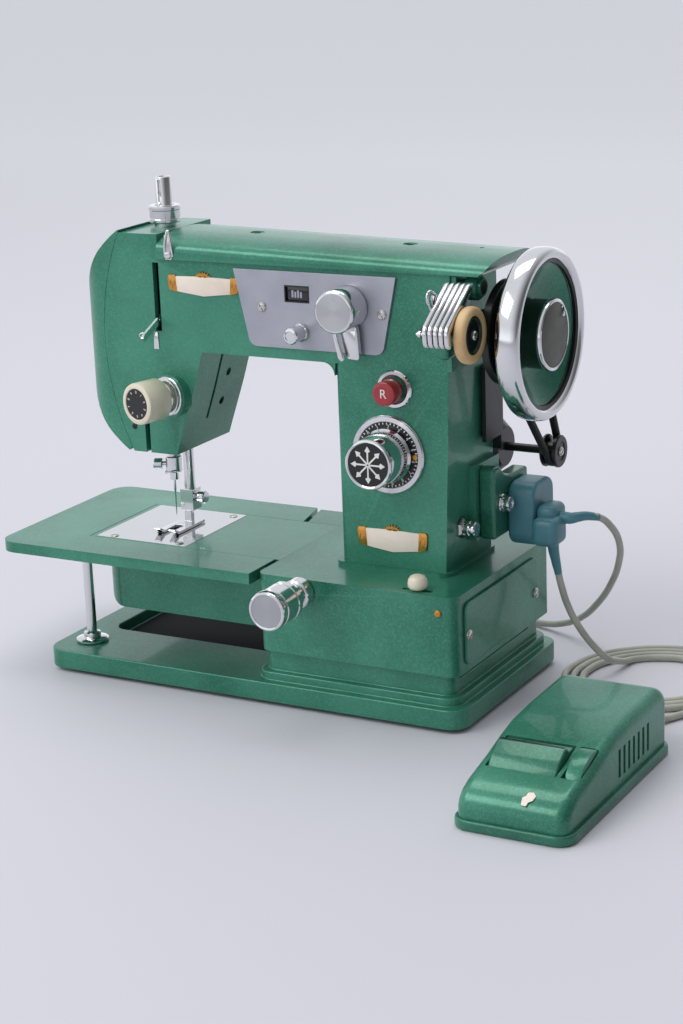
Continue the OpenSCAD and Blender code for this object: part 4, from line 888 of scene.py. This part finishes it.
knobPiece = turnedPiece("dial_knob", dialCentre, frontAxis, [
    (4.0, -8), (4.0, 3.4), (18.6, 3.4), (18.9, 4.0), (18.9, 5.0), (dial["knob"], 6.4),
    (dial["knob"], 27.0), (dial["knob"] - 0.4, 28.4), (dial["knob"] - 0.1, 29.0),
    (dial["knob"] - 0.1, 30.6), (dial["knob"] - 0.7, 31.3), (dial["face"] + 0.8, 31.5),
    (dial["face"] + 0.1, 31.0), (dial["face"], 30.4), (0.3, 30.4)], 144)
fluteSides(knobPiece, dialCentre, frontAxis, 7, 26.8, dial["knob"], 72, 0.35)
finishPiece(knobPiece, chromePlate, "stitch_dial", ["pattern_dial"], smooth=30)
dialFace = turnedPiece("dial_face_plate", dialCentre, frontAxis, [
    (dial["face"], 30.3), (dial["face"] - 0.1, 30.9), (0.3, 30.9)], 96)
finishPiece(dialFace, blackPaint, "stitch_dial", smooth=30)
arrowFrame = faceFrame(dialCentre + Vector((0, -30.85 * mm, 0)), frontAxis)
arrow = flatShape("dial_arrow", [(-0.55, 0.6), (0.55, 0.6), (0.6, 8.6), (2.1, 9.6), (1.2, 11.0),
                                 (0, 13.0), (-1.2, 11.0), (-2.1, 9.6), (-0.6, 8.6)],
    arrowFrame, 0.3, 0.08)
arrows = ringOf(arrow, dialCentre, frontAxis, [45 * i for i in range(1, 8)])
arrows.name = "dial_arrows"
finishPiece(arrows, whiteInk, "stitch_dial", smooth=0)

# the reverse button in its washer
buttonBox = cornersOf("reverse_button")
buttonCentre = at((buttonBox[0][0] + buttonBox[1][0]) / 2, bodyFront,
    (buttonBox[0][2] + buttonBox[1][2]) / 2)
buttonReach = bodyFront - buttonBox[0][1]
washer = turnedPiece("reverse_washer", buttonCentre, frontAxis, [
    (9.2, 0.1), (13.2, 0.1), (13.2, 1.2), (12.4, 2.1), (10.4, 2.3), (9.2, 1.4)], 96, closed=True)
finishPiece(washer, chromePlate, "machine", smooth=40)
buttonPiece = turnedPiece("reverse_button_cap", buttonCentre, frontAxis, [
    (6.0, -12), (6.0, 5.6), (8.4, 5.6), (8.5, 6.2), (8.5, buttonReach - 1.8), (8.1, buttonReach - 0.7),
    (7.2, buttonReach - 0.15), (5.0, buttonReach), (0.3, buttonReach)], 72)
finishPiece(buttonPiece, redPlastic, "reverse_control", ["reverse_button"], smooth=35)
letterR = letterPiece("reverse_letter", "R", 8.6,
    faceFrame(buttonCentre + Vector((0, -buttonReach * mm, 0)), frontAxis), 0.18)
finishPiece(letterR, whiteInk, "reverse_control", smooth=0)
print("stage: pillar controls ready")


# the control panel with its window, stitch width lever and small knob
panelPiece = softCopy("control_panel", "control_panel_plate", 0.6, 3, 40)
finishPiece(panelPiece, panelPaint, "machine", ["control_panel"], smooth=38, even=True)
windowLow, windowHigh = cornersOf("panel_window")
windowPane = blockPiece("window_pane", at(windowLow[0], panelFaceY + 0.9, windowLow[2]),
                        at(windowHigh[0], bodyFront, windowHigh[2]), 0.2, 2)
finishPiece(windowPane, darkGlass, "machine", ["panel_window"], smooth=30)
windowRim = blockPiece("window_rim", at(windowLow[0] - 0.8, panelFaceY - 0.3, windowLow[2] - 0.8),
                       at(windowHigh[0] + 0.8, panelFaceY + 0.6, windowHigh[2] + 0.8), 0.25, 2)
cutWith(windowRim, blockPiece("window_cutter",
    at(windowLow[0] + 0.2, panelFaceY - 3, windowLow[2] + 0.2),
                              at(windowHigh[0] - 0.2, panelFaceY + 3, windowHigh[2] - 0.2), 0))
finishPiece(windowRim, blackPaint, "machine", smooth=30)
paneFrame = faceFrame(at((windowLow[0] + windowHigh[0]) / 2, panelFaceY + 0.85,
    (windowLow[2] + windowHigh[2]) / 2), frontAxis)
scale = [flatShape(f"window_scale_{i}",
    [(x, -2.6), (x + 1.5, -2.6), (x + 1.5, 2.4 - (i % 2)), (x, 2.4 - (i % 2))],
                   paneFrame, 0.15, 0) for i, x in enumerate((-4.4, -2.2, 0.0, 2.2))]
scalePiece = joinPieces(*scale)
scalePiece.name = "window_scale"
finishPiece(scalePiece, panelPaint, "machine", smooth=0)

widthCentre = Vector((pivots["width_swing"].x, bodyFront * mm, pivots["width_swing"].z))
widthKnob = turnedPiece("width_knob", widthCentre, frontAxis, [
    (5.0, -8), (5.0, 2.4), (13.2, 2.4), (14.6, 3.2), (15.0, 4.6), (15.0, 21.6), (14.7, 22.8),
    (13.9, 23.6), (12.6, 24.0), (0.3, 23.8)], 96)
bladeOutline = [(-6.4, -8), (7.4, -8), (9.4, -16), (10.0, -26), (10.4, -33.4), (9.0, -35.2),
                (1.6, -34.6), (-0.6, -32.4), (-2.6, -22), (-4.8, -14)]
blade = flatShape("width_blade", bladeOutline,
    faceFrame(widthCentre + Vector((0, -4.2 * mm, 0)), frontAxis), 4.6, 1.3)
pointerOutline = [(-9.6, -9), (-6.6, -10), (-3.6, -22), (-0.6, -32), (0.6, -34.8), (-1.6, -36.0),
                  (-4.2, -33.6), (-6.8, -22)]
pointer = flatShape("width_pointer", pointerOutline,
    faceFrame(widthCentre + Vector((0, -9.5 * mm, 0)), frontAxis), 3.0, 0.9)
finishPiece(joinPieces(widthKnob, blade, pointer), chromePlate, "width_control",
    ["width_lever"], smooth=38)
widthFace = turnedPiece("width_knob_face", widthCentre, frontAxis,
    [(12.8, 23.6), (12.7, 24.15), (0.3, 24.15)], 96)
finishPiece(widthFace, spunKnobWidth, "width_control", smooth=30)

smallCentre = Vector((pivots["pattern_turn"].x, bodyFront * mm, pivots["pattern_turn"].z))
smallKnob = turnedPiece("pattern_knob_turned", smallCentre, frontAxis, [
    (3.0, -8), (3.0, 2.4), (6.4, 2.4), (6.6, 3.4), (6.2, 4.4), (5.5, 5.0), (5.5, 12.6), (5.8, 13.4),
    (5.7, 16.2), (5.0, 17.0), (3.8, 17.2), (3.4, 16.7), (0.2, 16.7)], 64)
fluteSides(smallKnob, smallCentre, frontAxis, 5.2, 12.5, 5.5, 20, 0.25)
finishPiece(smallKnob, chromePlate, "pattern_control", ["pattern_knob"], smooth=32)

for i, place in enumerate(screwPlaces["panel"]):
    screw = screwPiece(f"panel_screw_{i + 1}", at(place[0], panelFaceY + 0.1, place[1]), frontAxis, 3.5,
        1.7, True)
    finishPiece(screw, nickelPlate, "machine", ["case_screws"] if i == 0 else [], smooth=30)
print("stage: control panel ready")


# the thread tension dial stands on a slanted axis
tensionCentre = Vector(pivots["tension_turn"])
tensionAxis = Vector(joints["tension_turn"]["axis"])
collar = turnedPiece("tension_collar", tensionCentre, tensionAxis, [
    (3.4, 2.9), (13.4, 2.9), (14.2, 3.3), (14.2, 4.6), (13.0, 5.4), (12.2, 5.6), (12.2, 6.3),
    (13.6, 6.8), (13.8, 7.6), (12.4, 8.4), (10.4, 8.7), (9.6, 10.2), (3.4, 10.2)], 96, closed=True)
finishPiece(collar, chromePlate, "machine", ["tension_discs"], smooth=32)
tensionPost = turnedPiece("tension_post", tensionCentre, tensionAxis,
    [(3.1, 3), (3.1, 30), (2.4, 31), (0.2, 31)], 40)
finishPiece(tensionPost, nickelPlate, "machine", smooth=32)
knob = turnedPiece("tension_dial_cup", tensionCentre, tensionAxis, [
    (3.3, 10.6), (9.6, 10.6), (10.4, 11.4), (11.0, 13.2), (14.4, 13.6), (15.0, 14.6), (15.0, 32.6),
    (14.6, 33.7), (13.4, 34.4), (11.6, 34.5), (11.1, 34.1), (11.0, 33.5), (3.3, 33.5)], 96, closed=True)
finishPiece(knob, creamPlastic, "tension_dial", ["tension_knob"], smooth=34)
tensionFace = turnedPiece("tension_dial_face", tensionCentre, tensionAxis, [
    (11.1, 33.2), (11.0, 33.9), (0.3, 33.9)], 72)
finishPiece(tensionFace, blackPaint, "tension_dial", smooth=30)
tensionFrame = faceFrame(tensionCentre + tensionAxis * 33.85 * mm, tensionAxis)
digits = [letterPiece(f"tension_number_{i}", str(i), 2.9, tensionFrame
                      @ Matrix.Rotation(math.radians(-36 * i), 4, "Z")
                      @ Matrix.Translation((0, 8.6 * mm, 0)), 0.15)
          for i in range(10)]
digitPiece = joinPieces(*digits)
digitPiece.name = "tension_numbers"
finishPiece(digitPiece, whiteInk, "tension_dial", smooth=0)
print("stage: tension dial ready")


# feed length knob, drop-feed knob and light switch
feedCentre = Vector((pivots["length_turn"].x, cornersOf("bed_block")[0][1] * mm,
    pivots["length_turn"].z))
feedKnob = turnedPiece("feed_knob_turned", feedCentre, frontAxis, [
    (3.5, -12), (3.5, 0.4), (10.2, 0.4), (10.6, 1.0), (10.6, 8.4), (9.8, 9.4), (8.7, 9.8), (8.7, 19.6),
    (12.8, 20.6), (13.8, 21.6), (13.8, 25.4), (13.2, 26.0), (13.2, 27.0), (13.8, 27.6), (13.8, 40.0),
    (13.2, 40.6), (13.2, 41.4), (14.0, 42.2), (14.0, 45.6), (13.5, 46.8), (12.4, 47.4), (11.6, 47.2),
    (11.4, 46.7), (0.3, 46.7)], 120)
fluteSides(feedKnob, feedCentre, frontAxis, 27.7, 39.8, 13.8, 56, 0.35)
finishPiece(feedKnob, chromePlate, "length_control", ["feed_knob"], smooth=32)
feedFace = turnedPiece("feed_knob_face", feedCentre, frontAxis,
    [(11.5, 46.4), (11.4, 47.0), (0.3, 47.0)], 96)
finishPiece(feedFace, spunKnobFeed, "length_control", smooth=30)

leverLow, leverHigh = cornersOf("drop_feed_lever")
leverMid = at((leverLow[0] + leverHigh[0]) / 2, (leverLow[1] + leverHigh[1]) / 2, leverHigh[2] - 10.5)
dropKnob = turnedPiece("drop_feed_button", leverMid, (0, 0, 1), [
    (1.8, -13), (1.8, 0), (4.0, 0), (5.6, 0.8), (6.7, 2.4), (6.9, 4.6), (6.4, 7.2), (5.0, 9.4),
    (3.0, 10.3), (0.3, 10.5)], 56)
finishPiece(dropKnob, creamPlastic, "drop_feed", ["drop_feed_lever"], smooth=50)

switchLow, switchHigh = cornersOf("side_switch")
switchMid = at(0, (switchLow[1] + switchHigh[1]) / 2, (switchLow[2] + switchHigh[2]) / 2)
switchX = switchHigh[0] - 13.5
switchNut = turnedPiece("switch_nut", switchMid, (1, 0, 0), [
    (4.3, switchX + 0.9), (7.4, switchX + 0.9), (7.4, switchX + 2.6), (6.6, switchX + 3.6),
    (5.6, switchX + 4.2), (4.3, switchX + 4.4)], 6, closed=True)
finishPiece(switchNut, nickelPlate, "machine", smooth=20)
switchPiece = turnedPiece("switch_plunger", switchMid, (1, 0, 0), [
    (4.0, switchX - 10), (4.0, switchX + 6.6), (5.0, switchX + 6.8), (5.6, switchX + 7.4),
    (5.6, switchX + 8.6), (4.6, switchX + 9.2), (4.6, switchX + 10.4), (5.4, switchX + 11.0),
    (5.4, switchX + 12.6), (4.6, switchX + 13.5), (0.3, switchX + 13.5)], 48)
finishPiece(switchPiece, chromePlate, "light_switch", ["side_switch"], smooth=32)
print("stage: knobs ready")


# the badges: blank enamel plates with gilt ends and a plain fan
badgeStyles = [  # centre x, centre z, width, height
    {"name": "head_badge", "x": -44.5, "z": 285.5, "w": 58, "h": 12},
    {"name": "pillar_badge", "x": 98.0, "z": 116.5, "w": 54, "h": 14},
]
for style in badgeStyles:
    place = faceFrame(at(style["x"], bodyFront + 0.02, style["z"]), frontAxis)
    w, h = style["w"] / 2, style["h"] / 2
    plate = flatShape(style["name"], [(-w + 7, -h + 1.2), (0, -h - 1.4), (w - 7, -h + 1.2), (w - 6, h),
                                      (0, h + 0.6), (-w + 6, h)], place, 1.1, 0.3)
    finishPiece(plate, badgeEnamel, "machine",
        ["blank_badges"] if style is badgeStyles[0] else [], smooth=30)
    gilt = []
    for side in (-1, 1):
        gilt.append(flatShape(f"{style['name']}_end", [
            (side * (w - 7.5), -h + 0.6), (side * (w - 0.8), -h + 2.6), (side * w, h - 1.0),
            (side * (w - 1.2), h + 0.8), (side * (w - 6.5), h + 0.9)][::side], place, 1.35, 0.3))
        for i in range(3):
            gilt.append(flatShape(f"{style['name']}_bead", [
                (side * (w - 5.6 + 1.7 * i) + 0.5 * math.cos(math.radians(a)),
                 (0.6 if i != 1 else -0.6) * 2 + 1.5 * math.sin(math.radians(a)))
                 for a in range(0, 360, 45)],
                place, 1.75, 0.2))
    for i in range(-3, 4):
        lean = math.radians(24 * i)
        cx, cz = 1.2 * math.sin(lean), h + 0.2
        tipX, tipZ = cx + 5.4 * math.sin(lean), cz + 4.4 * math.cos(lean)
        sideX, sideZ = 0.8 * math.cos(lean), -0.8 * math.sin(lean)
        gilt.append(flatShape(f"{style['name']}_ray", [
            (cx - sideX * 0.6, cz - sideZ * 0.6), (cx + sideX * 0.6, cz + sideZ * 0.6),
            ((cx + tipX) / 2 + sideX, (cz + tipZ) / 2 + sideZ), (tipX, tipZ),
            ((cx + tipX) / 2 - sideX, (cz + tipZ) / 2 - sideZ)], place, 1.2, 0.15))
    giltPiece = joinPieces(*gilt)
    giltPiece.name = f"{style['name']}_gilt"
    finishPiece(giltPiece, badgeGold, "machine", smooth=30)
print("stage: badges ready")


# thread guides, pressure regulator, needle clamp and the screw of the foot
guideX = -70.5
topGuide = wirePiece("top_thread_guide", [
    (guideX - 3.2, bodyFront - 2.4, 305), (guideX - 2.6, bodyFront - 3.6, 312),
    (guideX - 0.6, bodyFront - 3.4, 321), (guideX + 0.4, bodyFront - 3.0, 323.4),
    (guideX + 1.6, bodyFront - 3.4, 321), (guideX + 3.0, bodyFront - 3.6, 312),
    (guideX + 3.2, bodyFront - 2.6, 305.4)], 0.75)
finishPiece(topGuide, chromePlate, "machine", ["thread_guides"], smooth=60)
guidePlate = flatShape("top_guide_plate",
    [(-2.6, -1.5), (2.6, -1.5), (3.2, 6), (2.6, 16), (-2.6, 16), (-3.2, 6)],
                       faceFrame(at(guideX, bodyFront - 2.5, 304.5), frontAxis), 0.7, 0.2)
finishPiece(guidePlate, nickelPlate, "machine", smooth=30)
guideScrew = screwPiece("top_guide_screw", at(guideX, bodyFront - 3.2, 306.5), frontAxis, 2.8, 1.6)
finishPiece(guideScrew, chromePlate, "machine", smooth=30)
lowGuide = wirePiece("lower_thread_guide", [
    (-83.0, bodyFront + 0.4, 259.5), (-86.0, bodyFront - 2.0, 256.2), (-88.6, bodyFront - 3.6, 251.6),
    (-92.4, bodyFront - 4.4, 248.2), (-96.2, bodyFront - 4.6, 246.8), (-96.8, bodyFront - 5.6, 248.6),
    (-92.6, bodyFront - 5.8, 250.4)], 0.7)
finishPiece(lowGuide, chromePlate, "machine", smooth=60)
guideLug = flatShape("lower_guide_lug", [(-2.2, -9), (2.2, -9), (1.6, 3.5), (-1.6, 3.5)],
                     faceFrame(at(-86.4, bodyFront + 0.05, 247), frontAxis), 1.0, 0.3)
finishPiece(guideLug, chromePlate, "machine", smooth=30)
coverScrew = screwPiece("face_cover_screw", at(-110, bodyFront + 0.1, 179.5), frontAxis, 2.2, 0.9)
finishPiece(coverScrew, blackPaint, "nose_cover", smooth=30)

barX = pivots["lifter_turn"].x / mm
pinLow, pinHigh = cornersOf("pressure_pin")
pinMid = at(barX, 0, 0)
pinPiece = turnedPiece("regulator_pin_turned", pinMid, (0, 0, 1), [
    (5.6, pinLow[2]), (5.6, pinHigh[2] - 1.4), (5.2, pinHigh[2] - 0.5), (4.2, pinHigh[2]),
    (3.2, pinHigh[2] - 0.2), (3.0, pinHigh[2] - 1.2), (0.2, pinHigh[2] - 1.2)], 64)
cutWith(pinPiece, blockPiece("pin_slot_cutter", at(barX - 1.4, -8, pinLow[2] + 31),
    at(barX + 1.4, -3.6, pinHigh[2] - 2.4), 0.4, 2))
finishPiece(pinPiece, chromePlate, "regulator_pin", ["pressure_pin"], smooth=32)
ringLow, ringHigh = cornersOf("pressure_ring")
ringPiece = turnedPiece("regulator_ring_turned", pinMid, (0, 0, 1), [
    (5.78, ringLow[2]), (8, ringLow[2]), (8, ringHigh[2] - 12.4), (10.8, ringHigh[2] - 12.2),
    (11.5, ringHigh[2] - 11.4), (11.5, ringHigh[2] - 9.6), (11.1, ringHigh[2] - 9.0),
    (11.1, ringHigh[2] - 3.4), (11.5, ringHigh[2] - 2.8), (11.5, ringHigh[2] - 1.0),
    (10.6, ringHigh[2]), (7.4, ringHigh[2]), (6.4, ringHigh[2] - 1.2), (5.78, ringHigh[2] - 1.2)],
    96, closed=True)
fluteSides(ringPiece, pinMid, (0, 0, 1), ringHigh[2] - 8.9, ringHigh[2] - 3.5, 11.1, 40, 0.35)
finishPiece(ringPiece, chromePlate, "regulator_ring", ["pressure_ring"], smooth=32)

needleY = -8.0
needleLow = cornersOf("needle")[0][2]
clampTop = needleLow + 46
clampPiece = turnedPiece("needle_clamp", at(barX, needleY, 0), (0, 0, 1), [
    (3.25, clampTop - 12), (5.4, clampTop - 12), (5.9, clampTop - 11.4), (5.9, clampTop - 0.8),
    (5.3, clampTop), (3.25, clampTop)], 48, closed=True)
thumb = turnedPiece("needle_thumb_screw", at(barX - 4, needleY - 2, clampTop - 6), (-0.92, -0.38, 0), [
    (1.6, 0), (1.6, 3.4), (3.6, 3.6), (4.1, 4.2), (4.1, 9.4), (3.5, 10.2), (0.3, 10.3)], 40)
fluteSides(thumb, at(barX - 4, needleY - 2, clampTop - 6), (-0.92, -0.38, 0), 4.3, 9.2, 4.1, 16, 0.3)
shank = turnedPiece("needle_shank", at(barX, needleY, 0), (0, 0, 1), [
    (0.9, needleLow + 28), (0.9, needleLow + 20), (0.55, needleLow + 18), (0.5, needleLow + 3),
    (0.1, needleLow)], 20)
threadHook = wirePiece("needle_thread_hook", [
    (barX + 5, needleY - 2, clampTop - 10), (barX + 2, needleY - 7.4, clampTop - 10.6),
    (barX - 3, needleY - 6.6, clampTop - 12), (barX - 4.6, needleY - 3, clampTop - 11)], 0.5)
finishPiece(joinPieces(clampPiece, thumb, shank, threadHook), chromePlate, "needle_carrier",
    ["needle"], smooth=32)

footScrew = turnedPiece("foot_thumb_screw", at(barX + 5, 12, 116), (1, 0, 0), [
    (2.0, 0), (2.0, 2.4), (4.2, 2.6), (4.8, 3.4), (4.8, 8.0), (4.0, 8.8), (0.3, 9.0)], 40)
fluteSides(footScrew, at(barX + 5, 12, 116), (1, 0, 0), 3.5, 7.9, 4.8, 18, 0.35)
finishPiece(footScrew, chromePlate, "presser", smooth=32)
print("stage: head details ready")


for i, place in enumerate(screwPlaces["bedSide"]):
    screw = screwPiece(f"bed_side_screw_{i + 1}", at(cornersOf("bed_side_cover")[1][0] + 0.1, *place),
        (1, 0, 0), 3.7, 2.2)
    finishPiece(screw, nickelPlate, "machine", smooth=30)
for i, place in enumerate(screwPlaces["plate"]):
    screw = screwPiece(f"plate_screw_{i + 1}",
        at(place[0], place[1], cornersOf("needle_plate")[1][2] + 0.05), (0, 0, 1), 3.2, 0.8)
    finishPiece(screw, nickelPlate, "machine", smooth=30)
brass = screwPiece("bed_front_screw", at(*screwPlaces["front"]), frontAxis, 2.6, 1.4)
finishPiece(brass, badgeGold, "machine", smooth=30)
# the terminal box's clamp screw, the table's leg and a black sheet in the base recess, painted shade under
# the arm
boxHigh = cornersOf("terminal_box")[1]
bigScrew = turnedPiece("terminal_clamp_screw", at(boxHigh[0], 14, 136), (1, 0, 0), [
    (3.2, -0.6), (6.4, 0.1), (6.6, 0.8), (6.2, 1.6), (4.4, 1.8), (4.4, 3.4), (5.4, 3.6), (5.6, 4.2),
    (5.6, 6.4), (5.0, 7.2), (3.0, 7.4), (2.6, 6.6), (0.3, 6.6)], 48)
finishPiece(bigScrew, chromePlate, "machine", smooth=30)

legLow, legHigh = cornersOf("table_leg")
legMid = at((legLow[0] + legHigh[0]) / 2, (legLow[1] + legHigh[1]) / 2, 0)
legPiece = turnedPiece("table_leg_turned", legMid, (0, 0, 1), [
    (11.2, legLow[2]), (12.0, legLow[2] + 0.6), (12.0, legLow[2] + 1.8), (11.0, legLow[2] + 2.5),
    (7.0, legLow[2] + 3.0), (6.4, legLow[2] + 3.6), (6.2, legLow[2] + 6.4), (4.4, legLow[2] + 7.0),
    (3.7, legLow[2] + 7.6), (3.6, legHigh[2] - 3.6), (5.4, legHigh[2] - 3.2), (5.4, legHigh[2])], 64)
finishPiece(legPiece, chromePlate, "table", ["table_leg"], smooth=34)

baseLow = cornersOf("plinth_base")[0]
recessShadeSheet = blockPiece("recess_painted_shade_sheet", at(baseLow[0] + 24, -24, 8.1), at(8, 58, 9.6), 0.6, 3)
finishPiece(recessShadeSheet, recessPaintedShade, "machine", smooth=30)
print("stage: base details ready")

# the foot pedal: a pressed shell, a ridged treadle and a curved speed lever
footBox = cornersOf("pedal_housing")
foot = {"x0": footBox[0][0], "x1": footBox[1][0], "front": footBox[0][1] - 2, "back": footBox[1][1] + 2,
        "treadle": (cornersOf("pedal_treadle")[0][0] + 1.8, cornersOf("pedal_treadle")[1][0] - 1.8),
        "lever": (cornersOf("pedal_side_lever")[0][0] + 1.8, cornersOf("pedal_side_lever")[1][0] - 1.8)}
footOutline = ([(foot["front"] + 2, 0.8), (foot["back"] - 2, 0.8)]
               + [(foot["back"] - 14 + 12 * math.cos(math.radians(a)),
                   34 + 12 * math.sin(math.radians(a)))
                  for a in range(0, 91, 15)]
               + [(foot["back"] - 60, 45.2), (foot["back"] - 88, 43.4), (foot["back"] - 104, 40.0),
                  (foot["back"] - 124, 34.6), (foot["front"] + 20, 28.6), (foot["front"] + 11, 25.2),
                  (foot["front"] + 5.4, 20.6), (foot["front"] + 2.6, 15)])
footShell = platePiece("pedal_shell", [at(foot["x0"], y, z) for y, z in footOutline],
                       ((foot["x1"] - foot["x0"]) * mm, 0, 0), 0)
applyModifier(footShell, "BEVEL", width=8 * mm, segments=6, limit_method="ANGLE",
    angle_limit=math.radians(50))
footHollow = platePiece("pedal_hollow", [at(foot["x0"] + 4, y, z) for y, z in (
    (foot["front"] + 11, -1), (foot["back"] - 9, -1), (foot["back"] - 9, 30), (foot["back"] - 17, 39),
    (foot["back"] - 90, 37.6), (foot["back"] - 106, 33.4), (foot["front"] + 22, 22.4),
    (foot["front"] + 12, 17))],
    ((foot["x1"] - foot["x0"] - 8) * mm, 0, 0), 0)
cutWith(footShell, footHollow)
for low, high in (foot["treadle"], foot["lever"]):
    cutWith(footShell, blockPiece("pedal_opening", at(low - 0.6, foot["back"] - 140.4, 12),
                                  at(high + 0.6, foot["back"] - 107.6, 60), 0.8, 3))
for i in range(7):
    cutWith(footShell, blockPiece("pedal_vent", at(foot["x1"] - 5, foot["back"] - 40 - 8 * i, 13),
                                  at(foot["x1"] + 1, foot["back"] - 36.4 - 8 * i, 32), 1.0, 3))
finishPiece(footShell, greenEnamel, "machine", ["pedal_housing"], smooth=36, even=True)
y0 = foot["back"] - 108.5
treadleOutline = [(y0, 25), (y0, 37.6), (y0 - 1.2, 38.4), (y0 - 9.5, 39.4), (y0 - 11.6, 42.0),
                  (y0 - 13.4, 42.5), (y0 - 15.4, 41.8), (y0 - 21.6, 37.8), (y0 - 23.0, 37.2),
                  (y0 - 24.6, 36.0), (y0 - 29.8, 30.6), (y0 - 31, 28), (y0 - 31, 22)]
treadle = platePiece("pedal_treadle_plate", [at(foot["treadle"][0], y, z) for y, z in treadleOutline],
                     ((foot["treadle"][1] - foot["treadle"][0]) * mm, 0, 0), 0)
applyModifier(treadle, "BEVEL", width=1.6 * mm, segments=4, limit_method="ANGLE",
    angle_limit=math.radians(60))
finishPiece(treadle, greenEnamelPaintedShade, "treadle", ["pedal_treadle"], smooth=24)
wornEdge = blockPiece("treadle_worn_edge", at(foot["treadle"][0] + 1.4, y0 - 14.0, 42.0),
                      at(foot["treadle"][1] - 1.4, y0 - 11.8, 42.62), 0.3, 2)
finishPiece(wornEdge, blackPaint, "treadle", smooth=30)
leverOutline = [(y0, 24), (y0, 37), (y0 - 1.6, 39.4), (y0 - 4, 40), (y0 - 9, 39.8), (y0 - 15, 38.4),
                (y0 - 20.4, 35.8), (y0 - 25.2, 32.2), (y0 - 28.8, 27.6), (y0 - 31, 22)]
sideLever = platePiece("pedal_speed_lever", [at(foot["lever"][0], y, z) for y, z in leverOutline],
                       ((foot["lever"][1] - foot["lever"][0]) * mm, 0, 0), 0)
applyModifier(sideLever, "BEVEL", width=0.8 * mm, segments=3, limit_method="ANGLE",
    angle_limit=math.radians(60))
finishPiece(sideLever, greenEnamel, "speed_lever", ["pedal_side_lever"], smooth=24)
chip = flatShape("pedal_paint_chip", [(-2.4, -5.2), (0.8, -5.6), (1.4, -2.6), (3.6, -1.0), (4.6, 2.6),
                                      (2.2, 5.0), (-1.0, 4.4), (-1.6, 1.6), (-3.4, 0.4), (-3.0, -2.6)],
                 faceFrame(at(275, foot["front"] + 9.2, 24.4), (0, -0.52, 0.854)), 0.25, 0.05)
finishPiece(chip, badgeEnamel, "machine", smooth=0)
print("stage: pedal ready")


# the machine's plugs, and the sleeves that guard each lead where it enters
frontPlug = blockPiece("machine_plug_front", at(177.5, 15.6, 105.8), at(196.5, 38.4, 126.4), 5.4, 6)
backPlug = blockPiece("machine_plug_back", at(177.5, 24, 114), at(192.5, 46.2, 133.2), 5.0, 6)
finishPiece(joinPieces(frontPlug, backPlug), tealPlastic, "machine", ["plug_cap"],
    smooth=50)
sleeves = {
    "mains_lead_sleeve": ([(188, 34, 124), (196.55, 34, 124), (200, 34.2, 124), (204, 36.5, 124.6),
                           (208, 41, 124.6), (214, 50, 122)], (1.0, 1.0, 0.95, 0.85, 0.75, 0.62),
                           tealPlastic, "teal_plastic"),
    "pedal_lead_sleeve": ([(186, 36, 112), (186, 36, 105.95), (186, 36, 101), (187, 38, 90),
                           (187.9, 39.9, 81)],
                          (1.0, 1.0, 0.92, 0.75, 0.62), tealPlastic, "teal_plastic"),
    "pedal_entry_sleeve": ([(266, -52, 16), (266, -49, 16), (266, -43, 15.2), (269, -34, 11.8)],
                           (1.0, 1.0, 0.85, 0.66), blackRubber, "black_rubber"),
    "wall_plug_sleeve": ([(-18, 175, 11), (-13.95, 175, 11), (-11, 175, 11), (-7, 175, 10.6),
                          (-3, 174, 9.4), (2, 170.8, 8.4), (5, 166.3, 7.9)],
                          (1.0, 1.0, 0.95, 0.88, 0.8, 0.7, 0.62), tealPlastic, "teal_plastic"),
}
for name, (route, taper, material, slotName) in sleeves.items():
    finishPiece(wirePiece(name, route, 4.3, radii=taper), material, "machine", smooth=50)
print("stage: plugs ready")

bpy.context.view_layer.update()
print("stage: done")
